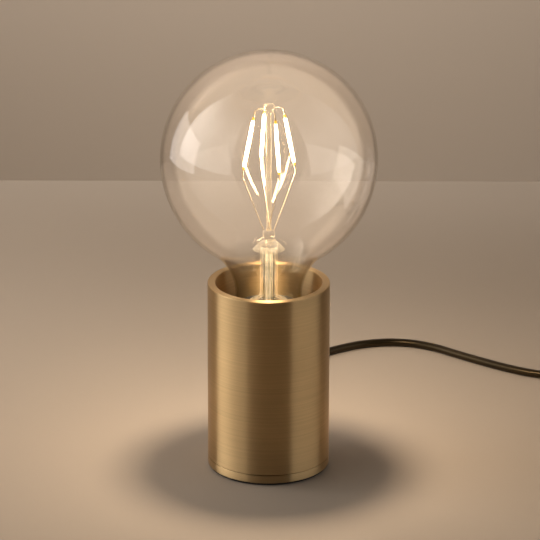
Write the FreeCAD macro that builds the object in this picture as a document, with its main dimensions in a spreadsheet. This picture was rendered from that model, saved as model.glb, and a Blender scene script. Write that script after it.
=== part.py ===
import FreeCAD, Part
import math
import os
import Sketcher
from FreeCAD import Placement, Rotation, Vector

# Table lamp with a bare globe bulb. The body is a brass tube standing on a brass base plate, with an E27
# lampholder on a bracket inside and a globe filament bulb rising out of the open top. Millimetres, +Z up.
# The origin is the middle of the foot on the table, and +Y is the back, where the cord leaves.

# ---------------------------------------------------------------- driving dimensions
SIZES = {
    # brass body
    "tube_radius": 35.5, "tube_wall": 4.5, "tube_top": 113.5, "rim_round": 0.7,
    "pad_thickness": 1.5, "pad_radius": 34.3, "pad_round": 0.3,
    "band_height": 5.0, "band_round": 0.4, "seam_gap": 0.2,
    "spigot_height": 2.0, "spigot_clearance": 0.15, "notch_width": 12.0, "notch_depth": 3.5,
    "lug_height": 10.0, "lug_pitch": 25.0, "lug_half_width": 4.8, "lug_count": 3,
    "wall_bite": 0.3,
    # fasteners
    "plate_screw_radius": 2.0, "plate_screw_length": 12.0, "plate_head_radius": 3.9,
    "plate_head_height": 2.1, "head_recess": 0.3, "thread_clearance": 0.05, "hole_clearance": 0.25,
    "foot_screw_radius": 2.0, "foot_screw_reach": 5.0, "foot_screw_pitch": 23.4,
    "foot_head_radius": 3.4, "foot_head_height": 2.2,
    "clamp_screw_radius": 1.5, "clamp_screw_reach": 4.5, "clamp_screw_pitch": 8.2,
    "clamp_head_radius": 2.4, "clamp_head_height": 1.8,
    "head_side_share": 0.6, "head_crown_share": 0.7,
    # bracket and the threaded tube that carries the lampholder
    "strip": 2.0, "bracket_half_width": 6.0, "leg_outside": 18.0, "foot_end": 27.6, "web_top": 40.0,
    "bend_round": 2.4,
    "nipple_radius": 5.0, "nipple_bore": 3.6, "nipple_bottom": 33.0, "nipple_rise": 9.0,
    "nut_half_flats": 7.0, "nut_height": 4.0,
    "washer_radius": 8.5, "washer_height": 1.0,
    # lampholder
    "holder_radius": 20.0, "holder_wall": 3.2, "holder_entry": 9.0, "entry_height": 3.0,
    "entry_floor": 6.0, "cap_side": 9.0, "holder_rim": 98.5, "rim_mouth": 18.2, "mouth_depth": 5.0,
    "rim_edge": 0.8, "split_gap": 0.2,
    "cap_collar_radius": 18.3, "cap_collar_wall": 1.5, "cap_collar_height": 6.0,
    "body_bore": 17.0, "core_radius": 16.5, "core_flange_radius": 18.2, "core_flange": 2.0,
    "core_hang": 8.0, "core_floor": 67.0, "core_rise": 12.0, "fit_gap": 0.1, "wall_gap": 0.3,
    "shell_radius": 13.9, "shell_wall": 0.5, "shell_top": 93.0, "shell_lip": 10.0,
    "leaf": 0.6, "leaf_half_width": 3.0, "leaf_tail": 9.2, "leaf_fold": 3.6, "leaf_tip": 4.0,
    "side_strip_inner": 5.2, "side_strip_outer": 13.4,
    "post_pitch": 7.2, "post_radius": 2.0, "post_drop": 11.0,
    "terminal_radius": 1.25, "terminal_reach": 1.6, "terminal_head": 1.9, "terminal_head_height": 1.6,
    "terminal_above": 3.4, "terminal_shank": 2.6,
    "core_wire_radius": 1.1, "core_wire_hole": 1.3, "core_wire_entry": 1.4,
    "core_wire_rise": 2.4, "core_wire_run_in": 3.8,
    # bulb cap
    "cap_top": 97.0, "cap_height": 26.0, "cap_radius": 13.1, "cap_wall": 0.5,
    "button_radius": 4.7, "button_height": 2.0, "button_round": 0.6,
    "insulator_height": 5.2, "insulator_waist": 5.2, "insulator_radius": 11.8, "insulator_edge": 1.0,
    "board_height": 13.0, "board_thickness": 1.2, "board_lift": 1.6,
    "board_capacitor_radius": 2.6, "board_capacitor_height": 8.0,
    "board_chip_length": 6.0, "board_chip_place": 0.7, "board_chip_height": 4.0, "board_chip_depth": 1.6,
    # glass bulb
    "globe_radius": 62.5, "globe_centre": 188.3, "lower_globe_radius": 66.5,
    "neck_radius": 19.3, "throat_radius": 33.0, "shoulder_radius": 7.0, "glass_wall": 0.9,
    "collar_depth": 3.8, "glass_fit": 0.3,
    "stem_radius": 5.0, "stem_wall": 1.0, "stem_flare_radius": 11.1, "stem_flare_round": 6.0,
    "stem_flare_top": 101.8, "stem_top": 133.2, "skirt_radius": 9.2, "skirt_drop": 5.2, "skirt_wall": 0.9,
    "skirt_crown": 2.9, "pinch_bottom": 138.6, "pinch_height": 6.6, "pinch_half_width": 3.6,
    "pinch_half_depth": 2.3,
    "exhaust_radius": 2.2, "exhaust_bore": 1.4, "exhaust_bottom": 95.0,
    "post_rod_radius": 1.55, "bead_radius": 3.4, "bead_bottom": 216.4, "bead_top": 221.2,
    "filament_count": 4, "filament_turn": 18.0, "filament_radius": 1.0,
    "filament_low": 183.4, "filament_low_pitch": 15.2, "filament_high": 214.0, "filament_high_pitch": 9.2,
    "tab_radius": 0.4, "tab_length": 4.0, "wire_radius": 0.28, "feed_spacing": 2.6,
    "side_lead_spacing": 3.0, "middle_lead_offset": 0.8, "middle_lead_depth": 1.95,
    # cord and what holds it
    "cord_radius": 2.5, "cord_exit_height": 12.6, "relief_length": 22.0,
    "relief_root": 4.9, "relief_tip": 3.3, "relief_neck": 4.0, "relief_hole_gap": 0.25,
    "relief_collar_radius": 5.3, "relief_collar": 1.8, "relief_inner_collar": 2.0, "relief_slack": 0.7,
    "relief_ribs": 4, "relief_rib_share": 0.6, "relief_rib_slope": 0.1, "relief_waist": 0.6,
    "clamp_place": 17.0, "clamp_half_width": 10.9, "clamp_depth": 5.0, "clamp_foot": 2.5, "clamp_arch": 2.1,
    "clamp_gap": 0.45, "clamped_cord_lift": 0.3,
    "coil_mean_radius": 30.0, "coil_turns": 7, "coil_pitch": 5.6, "coil_layer": 5.5, "coil_end": 5.0,
    # switch on the cord
    "switch_length": 56.0, "switch_width": 24.0, "switch_height": 15.0, "switch_corner": 6.0,
    "switch_edge": 1.5, "switch_wall": 2.0, "switch_cavity_length": 34.0, "switch_cavity_width": 15.0,
    "switch_middle_x": 234.0, "switch_middle_y": 129.0, "window_length": 24.4, "window_width": 13.0,
    "rocker_length": 22.0, "rocker_width": 12.0, "rocker_tip": 4.1, "rocker_dip": 2.7, "rocker_side": 1.5,
    "rocker_keel": 3.2, "rocker_keel_half": 4.0, "rocker_tilt": 12.0, "pivot_height": 11.3,
    "pivot_radius": 1.2, "pivot_length": 19.0,
    "pivot_clearance": 0.05,
    "switch_screw_pitch": 21.0, "switch_screw_radius": 1.3, "switch_head_radius": 2.4,
    "switch_head_height": 1.6, "switch_screw_top": 11.5, "contact_length": 12.0, "contact_width": 4.0,
    "contact_height": 2.4, "contact_spacing": 4.5,
    # mains plug
    "plug_width": 35.3, "plug_thickness": 13.7, "plug_length": 34.0, "plug_shoulder": 10.0,
    "plug_heel": 8.5, "plug_edge": 2.2, "plug_corner": 3.0,
    "boot_root": 5.2, "boot_tip": 3.4, "boot_length": 24.0, "boot_ribs": 6, "boot_rib_share": 0.55,
    "boot_waist": 0.8, "pin_pitch": 18.6, "pin_radius": 2.0, "pin_length": 19.0, "pin_tip": 9.0,
    "pin_core": 1.5, "sleeve_radius": 1.8, "pin_round": 0.8,
}

# Routes of the cord's free stretches, chosen by hand, from one piece on the cord to the next.
RUN_POINTS = [(0, 57.6, 12.6), (0, 74, 12.6), (0.8, 92, 9), (2.4, 110, 4.2), (5.8, 127, 2.5),
              (14, 147, 2.5), (27, 165.5, 2.5), (44, 180, 2.5), (63, 190, 2.5), (84, 192.2, 2.5),
              (103, 184.6, 2.5), (121.5, 168, 2.5), (146, 148.4, 2.5), (166, 136.4, 2.5),
              (182, 131.4, 3.4), (194.5, 129, 7.5), (206, 129, 7.5)]
LINK_POINTS = [(262, 129, 7.5), (274, 129, 7.5), (288.5, 125, 3.4), (299, 114.5, 2.5),
               (303.4, 100, 2.5), (304, 85, 2.5), (304, 70, 2.5)]
TAIL_POINTS = [(304, 60, 8), (304, 47, 8), (303.6, 31, 3.4), (303.2, 15, 2.5),
               (303.4, 1, 3.6), (304, -12, 6.85), (304, -24, 6.85)]
# Route of the stretch that the lamp holds, from the back wall to the lampholder.
INNER_POINTS = [(0, 28.3, 12.6), (0, 24.4, 12.6), (0, 20.4, 11.5), (0, 16, 11.3),
                (0, 8.6, 13), (0, 2.5, 20), (0, 0, 29), (0, 0, 48)]

document = FreeCAD.newDocument("bulb_lamp")
sheet = document.addObject("Spreadsheet::Sheet", "dims")


class Size:
    """A size worked out from the sheet's cells: its formula, for bindings, and its value in mm."""

    def __init__(self, formula, value):
        self.formula = formula
        self.value = value

    def join(self, sign, other, value):
        return Size("(%s %s %s)" % (self.formula, sign, other.formula), value)

    def __add__(self, other):
        other = size(other)
        return self.join("+", other, self.value + other.value)

    def __sub__(self, other):
        other = size(other)
        return self.join("-", other, self.value - other.value)

    def __mul__(self, other):
        other = size(other)
        return self.join("*", other, self.value * other.value)

    def __truediv__(self, other):
        other = size(other)
        return self.join("/", other, self.value / other.value)

    def __neg__(self):
        return Size("(0 - %s)" % self.formula, -self.value)

    __radd__ = __add__

    def __rsub__(self, other):
        return size(other) - self


def size(number):
    """A plain number as a Size; a Size stays itself."""
    return number if isinstance(number, Size) else Size("%.9g" % number, number)


def root(square):
    return Size("sqrt(%s)" % square.formula, math.sqrt(square.value))


class Sheet:
    """Reads the sheet: dims.tube_radius is that cell as a Size."""

    def __getattr__(self, alias):
        return Size("dims.%s" % alias, SIZES[alias])


def fill_sheet():
    for row, (alias, value) in enumerate(SIZES.items(), start=1):
        sheet.set("A%d" % row, alias.replace("_", " "))
        sheet.set("B%d" % row, str(value))
        sheet.setAlias("B%d" % row, alias)
    document.recompute()


dims = Sheet()
nodes = {}


def bind(thing, **values):
    """Binds properties of a document object to formulas of the sheet."""
    for name, value in values.items():
        setattr(thing, name, size(value).value)
        thing.setExpression(name, size(value).formula)


def place(thing, x=0, y=0, z=0, turn=0):
    """Puts an object at a point, turned about the upright axis."""
    thing.Placement = Placement(Vector(size(x).value, size(y).value, size(z).value),
                                Rotation(Vector(0, 0, 1), size(turn).value))
    for axis, value in (("x", x), ("y", y), ("z", z)):
        thing.setExpression("Placement.Base." + axis, size(value).formula)


def node(thing, label):
    """Names an object as one sub-part of the lamp."""
    thing.Label = label
    nodes[label] = thing
    return thing


# ---------------------------------------------------------------- sketches and features
def origin_part(body, role):
    return next(item for item in body.Origin.OriginFeatures if item.Role == role)


def new_body(name):
    return document.addObject("PartDesign::Body", name)


def new_sketch(body, plane="XZ_Plane"):
    sketch = body.newObject("Sketcher::SketchObject", body.Name + "_sketch")
    sketch.AttachmentSupport = [(origin_part(body, plane), "")]
    sketch.MapMode = "FlatFace"
    return sketch


def pin_point(sketch, edge, end, x, y):
    """Fixes one end of a sketch edge at a bound place."""
    for kind, value, axis in (("DistanceX", size(x), -2), ("DistanceY", size(y), -1)):
        if value.value == 0:
            sketch.addConstraint(Sketcher.Constraint("PointOnObject", edge, end, axis))
        else:
            index = sketch.addConstraint(Sketcher.Constraint(kind, -1, 1, edge, end, value.value))
            sketch.setExpression("Constraints[%d]" % index, value.formula)


def arc_between(start, finish, radius, left):
    """The minor arc of a radius from one point to another, curving left or right, as a sketch arc."""
    if not left:
        start, finish = finish, start
    chord = finish - start
    middle = (start + finish) / 2
    rise = math.sqrt(max(radius ** 2 - chord.Length ** 2 / 4, 0))
    centre = middle + Vector(-chord.y, chord.x, 0).normalize() * rise
    angles = [math.atan2(point.y - centre.y, point.x - centre.x) for point in (start, finish)]
    if angles[1] < angles[0]:
        angles[1] += 2 * math.pi
    return Part.ArcOfCircle(Part.Circle(centre, Vector(0, 0, 1), radius), *angles)


def draw(sketch, corners):
    """A closed outline. A corner is (x, y), with a straight edge after it, or (x, y, radius, side), with
    an arc of that radius after it that curves to the "left" or the "right"."""
    points = [Vector(size(corner[0]).value, size(corner[1]).value, 0) for corner in corners]
    ends = []
    for index, corner in enumerate(corners):
        start = points[index]
        finish = points[(index + 1) % len(points)]
        if len(corner) == 2:
            edge = sketch.addGeometry(Part.LineSegment(start, finish), False)
            ends.append((edge, 1, 2))
            continue
        left = corner[3] == "left"
        edge = sketch.addGeometry(arc_between(start, finish, size(corner[2]).value, left), False)
        ends.append((edge, 1, 2) if left else (edge, 2, 1))
    for index, corner in enumerate(corners):
        edge, first, last = ends[index]
        following = ends[(index + 1) % len(ends)]
        sketch.addConstraint(Sketcher.Constraint("Coincident", edge, last, following[0], following[1]))
        pin_point(sketch, edge, first, corner[0], corner[1])
        if len(corner) > 2:
            limit = sketch.addConstraint(Sketcher.Constraint("Radius", edge, size(corner[2]).value))
            sketch.setExpression("Constraints[%d]" % limit, size(corner[2]).formula)
    return sketch


def draw_circle(sketch, x, y, radius):
    centre = Vector(size(x).value, size(y).value, 0)
    edge = sketch.addGeometry(Part.Circle(centre, Vector(0, 0, 1), size(radius).value), False)
    pin_point(sketch, edge, 3, x, y)
    limit = sketch.addConstraint(Sketcher.Constraint("Radius", edge, size(radius).value))
    sketch.setExpression("Constraints[%d]" % limit, size(radius).formula)


def draw_axis(sketch, x, low, high):
    """An upright construction line at x, which a revolution can turn about."""
    x = size(x)
    edge = sketch.addGeometry(Part.LineSegment(Vector(x.value, low, 0), Vector(x.value, high, 0)), True)
    sketch.addConstraint(Sketcher.Constraint("Vertical", edge))
    pin_point(sketch, edge, 1, x, low)


def revolve(body, sketch, axis="V_Axis", kind="Revolution"):
    feature = body.newObject("PartDesign::" + kind, body.Name + "_" + kind.lower())
    feature.Profile = sketch
    feature.ReferenceAxis = (sketch, [axis])
    feature.Angle = 360
    sketch.Visibility = False
    return feature


def pad(body, sketch, length, middle=False, kind="Pad", flip=False):
    feature = body.newObject("PartDesign::" + kind, body.Name + "_" + kind.lower())
    feature.Profile = sketch
    bind(feature, Length=length)
    feature.Midplane = middle
    feature.Reversed = flip
    return feature


def ring_of(body, feature, count):
    """Repeats a feature evenly about the upright axis."""
    pattern = body.newObject("PartDesign::PolarPattern", body.Name + "_ring")
    pattern.Originals = [feature]
    pattern.Axis = (origin_part(body, "Z_Axis"), [""])
    pattern.Angle = 360
    pattern.Occurrences = int(size(count).value)
    pattern.setExpression("Occurrences", size(count).formula)
    body.Tip = pattern
    return pattern


def turned(label, corners, z=0):
    """A sub-part turned about the lamp's upright axis from its (radius, height) outline."""
    body = new_body(label)
    revolve(body, draw(new_sketch(body), corners))
    place(body, z=z)
    return node(body, label)


def screws(label, corners, pitch, count, z=0, turn=0):
    """A ring of identical screws, each turned from its outline about its own axis at the pitch radius."""
    body = new_body(label)
    sketch = draw(new_sketch(body), [(pitch + x, y) for x, y in corners])
    draw_axis(sketch, pitch, 0, 1)
    ring_of(body, revolve(body, sketch, "Axis0"), count)
    place(body, z=z, turn=turn)
    return node(body, label)


# ---------------------------------------------------------------- Part primitives
def cylinder(name, radius, length, x=0, y=0, z=0, along=Vector(0, 0, 1)):
    thing = document.addObject("Part::Cylinder", name)
    bind(thing, Radius=radius, Height=length)
    place(thing, x, y, z)
    thing.Placement.Rotation = Rotation(Vector(0, 0, 1), along)
    return thing


def block(name, length, width, height, x=0, y=0, z=0):
    """A box whose middle in plan is at (x, y) and whose underside is at z."""
    thing = document.addObject("Part::Box", name)
    bind(thing, Length=length, Width=width, Height=height)
    place(thing, x - size(length) / 2, y - size(width) / 2, z)
    return thing


def rod(name, radius, start, finish):
    """A round bar between two points."""
    thing = document.addObject("Part::Cylinder", name)
    bind(thing, Radius=radius)
    thing.Height = (finish - start).Length
    thing.Placement = Placement(start, Rotation(Vector(0, 0, 1), finish - start))
    return thing


def cut(name, base, *tools):
    tool = tools[0] if len(tools) == 1 else fuse(name + "_tools", *tools)
    thing = document.addObject("Part::Cut", name)
    thing.Base = base
    thing.Tool = tool
    return thing


def fuse(name, *shapes):
    thing = document.addObject("Part::MultiFuse", name)
    thing.Shapes = list(shapes)
    return thing


def group(label, shapes):
    """Identical separate solids kept as one sub-part."""
    thing = document.addObject("Part::Compound", label)
    thing.Links = list(shapes)
    return node(thing, label)


# ---------------------------------------------------------------- heights and radii that follow
band_bottom = dims.pad_thickness
band_top = band_bottom + dims.band_height
plate_top = band_top + dims.spigot_height
tube_bottom = band_top + dims.seam_gap
tube_bore = dims.tube_radius - dims.tube_wall
spigot_radius = tube_bore - dims.spigot_clearance
foot_top = plate_top + dims.strip
web_bottom = dims.web_top - dims.strip
washer_top = dims.web_top + dims.washer_height
holder_bottom = washer_top
dome_bottom = holder_bottom + dims.entry_height
dome_round = dims.holder_radius - dims.holder_entry
dome_top = dome_bottom + dome_round
cap_split = dome_top + dims.cap_side
collar_top = cap_split + dims.cap_collar_height
flange_top = collar_top + dims.core_flange
leaf_top = dims.core_floor + dims.leaf
post_bottom = dims.core_floor - dims.post_drop
terminal_height = post_bottom + dims.terminal_above
button_bottom = dims.cap_top - dims.cap_height
insulator_bottom = button_bottom + dims.button_height
insulator_top = insulator_bottom + dims.insulator_height
cap_bore = dims.cap_radius - dims.cap_wall
glass_collar = cap_bore - dims.glass_fit
glass_bottom = dims.cap_top - dims.collar_depth
shoulder_top = dims.cap_top + dims.shoulder_radius
pinch_top = dims.pinch_bottom + dims.pinch_height
skirt_top = dims.stem_top + dims.skirt_drop
switch_split = dims.switch_height / 2
relief_inside = tube_bore - dims.relief_inner_collar - dims.relief_slack
relief_end = dims.tube_radius + dims.fit_gap + dims.relief_length
bead_middle = (dims.bead_bottom + dims.bead_top) / 2
coil_outer = dims.coil_mean_radius + dims.coil_pitch * dims.coil_turns / 4


# ---------------------------------------------------------------- brass body and foot
def build_foot_pad():
    turned("foot_pad", [(0, 0), (dims.pad_radius - dims.pad_round, 0), (dims.pad_radius, dims.pad_round),
                        (dims.pad_radius, dims.pad_thickness), (0, dims.pad_thickness)])


def plate_screw_outline(grow=0):
    """Countersunk screw seen from its own axis: flush head below, shank above, wider by grow for its hole."""
    head = dims.plate_head_radius + grow
    shank = dims.plate_screw_radius + grow
    top = dims.plate_screw_length
    return [(0, 0), (head, 0), (shank, dims.plate_head_height), (shank, top), (0, top)]


def build_base_plate():
    body = new_body("base_plate")
    edge = dims.band_round
    outside = dims.tube_radius
    revolve(body, draw(new_sketch(body), [
        (0, band_bottom), (outside - edge, band_bottom, edge, "left"), (outside, band_bottom + edge),
        (outside, band_top - edge, edge, "left"), (outside - edge, band_top), (spigot_radius, band_top),
        (spigot_radius, plate_top), (0, plate_top)]))
    # countersunk holes for the body screws
    grow = dims.hole_clearance
    head = dims.plate_head_radius + grow
    shank = dims.plate_screw_radius + grow
    low = band_bottom
    seat = band_bottom + dims.head_recess
    sketch = draw(new_sketch(body), [
        (dims.lug_pitch, low), (dims.lug_pitch + head, low), (dims.lug_pitch + head, seat),
        (dims.lug_pitch + shank, seat + dims.plate_head_height), (dims.lug_pitch + shank, plate_top),
        (dims.lug_pitch, plate_top)])
    draw_axis(sketch, dims.lug_pitch, 0, 1)
    ring_of(body, revolve(body, sketch, "Axis0", "Groove"), dims.lug_count)
    place(body, turn=-90)
    holes = []
    for side in (-1, 1):
        holes.append(cylinder("bracket_hole", dims.foot_screw_radius + dims.thread_clearance,
                              dims.foot_screw_reach, x=dims.foot_screw_pitch * side,
                              z=plate_top - dims.foot_screw_reach))
        holes.append(cylinder("clamp_hole", dims.clamp_screw_radius + dims.thread_clearance,
                              dims.clamp_screw_reach, x=dims.clamp_screw_pitch * side,
                              y=dims.clamp_place, z=plate_top - dims.clamp_screw_reach))
    notch = block("relief_notch", dims.notch_width, dims.notch_depth * 2, dims.spigot_height,
                  y=spigot_radius, z=band_top)
    node(cut("base_plate_drilled", body, notch, *holes), "base_plate")


def build_body_tube():
    body = new_body("tube")
    outside = dims.tube_radius
    edge = dims.rim_round
    top = dims.tube_top
    revolve(body, draw(new_sketch(body), [
        (tube_bore, tube_bottom), (outside - edge / 2, tube_bottom, edge / 2, "left"),
        (outside, tube_bottom + edge / 2), (outside, top - edge, edge, "left"), (outside - edge, top),
        (tube_bore + edge, top, edge, "left"), (tube_bore, top - edge)]))
    # lugs inside, which stand on the plate and take its screws
    sketch = new_sketch(body, "XY_Plane")
    inner = dims.lug_pitch
    half = dims.lug_half_width
    draw(sketch, [(inner, -half), (tube_bore + dims.wall_bite, -half), (tube_bore + dims.wall_bite, half),
                  (inner, half, half, "left"), (inner - half, 0, half, "left")])
    draw_circle(sketch, inner, 0, dims.plate_screw_radius + dims.thread_clearance)
    sketch.AttachmentOffset = Placement(Vector(0, 0, plate_top.value), Rotation())
    sketch.setExpression("AttachmentOffset.Base.z", plate_top.formula)
    ring_of(body, pad(body, sketch, dims.lug_height), dims.lug_count)
    place(body, turn=-90)
    hole = cylinder("relief_hole", dims.relief_neck + dims.relief_hole_gap, dims.tube_wall * 2,
                    y=tube_bore - dims.tube_wall / 2, z=dims.cord_exit_height, along=Vector(0, 1, 0))
    node(cut("tube_drilled", body, hole), "body_tube")


def build_base_screws():
    screws("base_screws", plate_screw_outline(), dims.lug_pitch, dims.lug_count,
           z=band_bottom + dims.head_recess, turn=-90)


# ---------------------------------------------------------------- bracket, threaded tube, cord clamp
def build_holder_bracket():
    body = new_body("bracket")
    leg = dims.leg_outside
    inner = leg - dims.strip
    bend = dims.bend_round
    half = [(dims.foot_end, plate_top), (dims.foot_end, foot_top), (leg, foot_top),
            (leg, dims.web_top - bend, bend, "left"), (leg - bend, dims.web_top)]
    back = [(-x, y) for x, y, *_ in reversed(half)]
    back[0] = (back[0][0], back[0][1], bend, "left")
    underside = [(-inner, plate_top), (-inner, web_bottom), (inner, web_bottom), (inner, plate_top)]
    pad(body, draw(new_sketch(body), half + back + underside), dims.bracket_half_width * 2, middle=True)
    tools = [cylinder("nipple_way", dims.nipple_radius + dims.hole_clearance, dims.strip * 2,
                      z=web_bottom - dims.strip / 2)]
    for side in (-1, 1):
        tools.append(cylinder("foot_way", dims.foot_screw_radius + dims.hole_clearance, dims.strip * 2,
                              x=dims.foot_screw_pitch * side, z=plate_top - dims.strip / 2))
    node(cut("bracket_drilled", body, *tools), "holder_bracket")


def pan_head_outline(shank, reach, head, height):
    """Pan head screw: the shank's end at zero, the head's underside at reach."""
    return [(0, 0), (shank, 0), (shank, reach), (head, reach), (head, reach + height * dims.head_side_share),
            (head * dims.head_crown_share, reach + height), (0, reach + height)]


def build_bracket_screws():
    reach = dims.foot_screw_reach + dims.strip
    screws("bracket_screws",
           pan_head_outline(dims.foot_screw_radius, reach, dims.foot_head_radius, dims.foot_head_height),
           dims.foot_screw_pitch, 2, z=plate_top - dims.foot_screw_reach)


def build_nipple():
    turned("nipple", [(dims.nipple_bore, dims.nipple_bottom), (dims.nipple_radius, dims.nipple_bottom),
                      (dims.nipple_radius, holder_bottom + dims.nipple_rise),
                      (dims.nipple_bore, holder_bottom + dims.nipple_rise)])


def build_nipple_nut():
    body = new_body("nut")
    flats = dims.nut_half_flats
    corner = flats * 2 / root(size(3))
    sketch = draw(new_sketch(body, "XY_Plane"), [
        (corner, 0), (corner / 2, flats), (-(corner / 2), flats), (-corner, 0),
        (-(corner / 2), -flats), (corner / 2, -flats)])
    draw_circle(sketch, 0, 0, dims.nipple_radius + dims.thread_clearance)
    pad(body, sketch, dims.nut_height)
    place(body, z=web_bottom - dims.nut_height)
    node(body, "nipple_nut")


def build_nipple_washer():
    inner = dims.nipple_radius + dims.hole_clearance
    turned("nipple_washer", [(inner, dims.web_top), (dims.washer_radius, dims.web_top),
                             (dims.washer_radius, washer_top), (inner, washer_top)])


def build_cord_clamp():
    """A saddle over the cord, screwed to the plate."""
    body = new_body("clamp")
    axis = plate_top + dims.clamped_cord_lift + dims.cord_radius
    channel = dims.cord_radius + dims.clamp_gap
    arch = channel + dims.clamp_arch
    foot = plate_top + dims.clamp_foot
    outside = dims.clamp_half_width
    shoulder = root(arch * arch - (foot - axis) * (foot - axis))
    sketch = draw(new_sketch(body), [
        (channel, plate_top), (outside, plate_top), (outside, foot), (shoulder, foot, arch, "left"),
        (0, axis + arch, arch, "left"), (-shoulder, foot), (-outside, foot), (-outside, plate_top),
        (-channel, plate_top), (-channel, axis, channel, "right"), (0, axis + channel, channel, "right"),
        (channel, axis)])
    pad(body, sketch, dims.clamp_depth, middle=True)
    place(body, y=dims.clamp_place)
    holes = [cylinder("saddle_way", dims.clamp_screw_radius + dims.hole_clearance, dims.clamp_foot * 2,
                      x=dims.clamp_screw_pitch * side, y=dims.clamp_place, z=plate_top - dims.clamp_foot / 2)
             for side in (-1, 1)]
    node(cut("clamp_drilled", body, *holes), "cord_clamp")


def build_clamp_screws():
    reach = dims.clamp_screw_reach + dims.clamp_foot
    screw = screws("clamp_screws",
                   pan_head_outline(dims.clamp_screw_radius, reach, dims.clamp_head_radius,
                                    dims.clamp_head_height),
                   dims.clamp_screw_pitch, 2, z=plate_top - dims.clamp_screw_reach)
    place(screw, y=dims.clamp_place, z=plate_top - dims.clamp_screw_reach)


# ---------------------------------------------------------------- lampholder
def build_holder_cap():
    """Domed lower half of the lampholder, screwed on the threaded tube."""
    bore = dims.nipple_radius + dims.thread_clearance
    wall = dims.holder_wall
    entry = dims.holder_entry
    outside = dims.holder_radius
    cavity = dims.cap_collar_radius - dims.cap_collar_wall
    floor = holder_bottom + dims.entry_floor
    turned("holder_cap", [
        (bore, holder_bottom), (entry, holder_bottom), (entry, dome_bottom, dome_round, "left"),
        (outside, dome_top), (outside, cap_split), (dims.cap_collar_radius, cap_split),
        (dims.cap_collar_radius, collar_top), (cavity, collar_top),
        (cavity, dome_top, dome_round - wall, "right"),
        (cavity - dome_round + wall, dome_bottom + wall), (bore, floor)])


def build_holder_body():
    """Upper shell of the lampholder, whose inner step holds the core down."""
    outside = dims.holder_radius
    edge = dims.rim_edge
    turned("holder_body", [
        (dims.cap_collar_radius + dims.wall_gap, cap_split + dims.split_gap),
        (outside, cap_split + dims.split_gap), (outside, dims.holder_rim - edge, edge, "left"),
        (outside - edge, dims.holder_rim), (dims.rim_mouth, dims.holder_rim),
        (dims.body_bore, dims.holder_rim - dims.mouth_depth), (dims.body_bore, flange_top + dims.fit_gap),
        (dims.cap_collar_radius + dims.wall_gap, flange_top + dims.fit_gap)])


def build_holder_core():
    """Insulating insert: a floor with the contacts and a wall round the screw shell."""
    bore = dims.shell_radius + dims.wall_gap
    body = new_body("core")
    revolve(body, draw(new_sketch(body), [
        (0, collar_top - dims.core_hang), (dims.core_radius, collar_top - dims.core_hang),
        (dims.core_radius, collar_top), (dims.core_flange_radius, collar_top),
        (dims.core_flange_radius, flange_top), (dims.core_radius, flange_top),
        (dims.core_radius, flange_top + dims.core_rise), (bore, flange_top + dims.core_rise),
        (bore, dims.core_floor), (0, dims.core_floor)]))
    ways = [cylinder("post_way", dims.post_radius + dims.fit_gap, dims.post_drop, x=dims.post_pitch * side,
                     z=post_bottom + dims.leaf) for side in (-1, 1)]
    node(cut("core_drilled", body, *ways), "holder_core")


def build_holder_screw_shell():
    inner = dims.shell_radius - dims.shell_wall
    turned("holder_screw_shell", [
        (dims.shell_lip, leaf_top), (dims.shell_radius, leaf_top), (dims.shell_radius, dims.shell_top),
        (inner, dims.shell_top), (inner, leaf_top + dims.shell_wall),
        (dims.shell_lip, leaf_top + dims.shell_wall)])


def contact_post(name, x):
    """Terminal post under the floor, with its wire hole and its screw hole."""
    post = cylinder(name, dims.post_radius, dims.post_drop, x=x, z=post_bottom)
    wire = cylinder(name + "_wire_hole", dims.core_wire_hole, dims.core_wire_entry + dims.fit_gap,
                    x=x, z=post_bottom)
    way = cylinder(name + "_screw_hole", dims.terminal_radius + dims.thread_clearance,
                   dims.terminal_reach + dims.post_radius, x=x,
                   y=-dims.post_radius,
                   z=terminal_height, along=Vector(0, 1, 0))
    return cut(name + "_drilled", post, wire, way)


def strip_body(name, corners):
    body = new_body(name)
    pad(body, draw(new_sketch(body), corners), dims.leaf_half_width * 2, middle=True)
    return body


def build_centre_contact():
    """Springy tongue under the bulb's tip, folded back over its own base."""
    tip_bottom = button_bottom - dims.wall_gap - dims.leaf
    fold = dims.leaf_fold
    leaf = strip_body("centre_leaf", [
        (-dims.leaf_tail, dims.core_floor), (fold, dims.core_floor), (fold, tip_bottom + dims.leaf),
        (-dims.leaf_tip, tip_bottom + dims.leaf), (-dims.leaf_tip, tip_bottom),
        (fold - dims.leaf, tip_bottom), (fold - dims.leaf, leaf_top), (-dims.leaf_tail, leaf_top)])
    node(fuse("centre_joined", leaf, contact_post("centre_post_stud", -dims.post_pitch)), "centre_contact")


def build_side_contact():
    strip = strip_body("side_strip", [
        (dims.side_strip_inner, dims.core_floor), (dims.side_strip_outer, dims.core_floor),
        (dims.side_strip_outer, leaf_top), (dims.side_strip_inner, leaf_top)])
    node(fuse("side_joined", strip, contact_post("side_post_stud", dims.post_pitch)), "side_contact")


def build_terminal_screws():
    pair = []
    for side in (-1, 1):
        x = dims.post_pitch * side
        head = cylinder("terminal_head", dims.terminal_head, dims.terminal_head_height, x=x,
                        y=-dims.post_radius - dims.wall_gap - dims.terminal_head_height,
                        z=terminal_height, along=Vector(0, 1, 0))
        shank = cylinder("terminal_shank", dims.terminal_radius, dims.terminal_shank, x=x,
                         y=-dims.post_radius - dims.wall_gap, z=terminal_height, along=Vector(0, 1, 0))
        pair.append(fuse("terminal_screw", head, shank))
    group("terminal_screws", pair)


# ---------------------------------------------------------------- bulb
def build_cap_contact():
    edge = dims.button_round
    turned("cap_contact", [
        (0, button_bottom), (dims.button_radius - edge, button_bottom, edge, "left"),
        (dims.button_radius, button_bottom + edge), (dims.button_radius, insulator_bottom - dims.fit_gap),
        (0, insulator_bottom - dims.fit_gap)])


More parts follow.
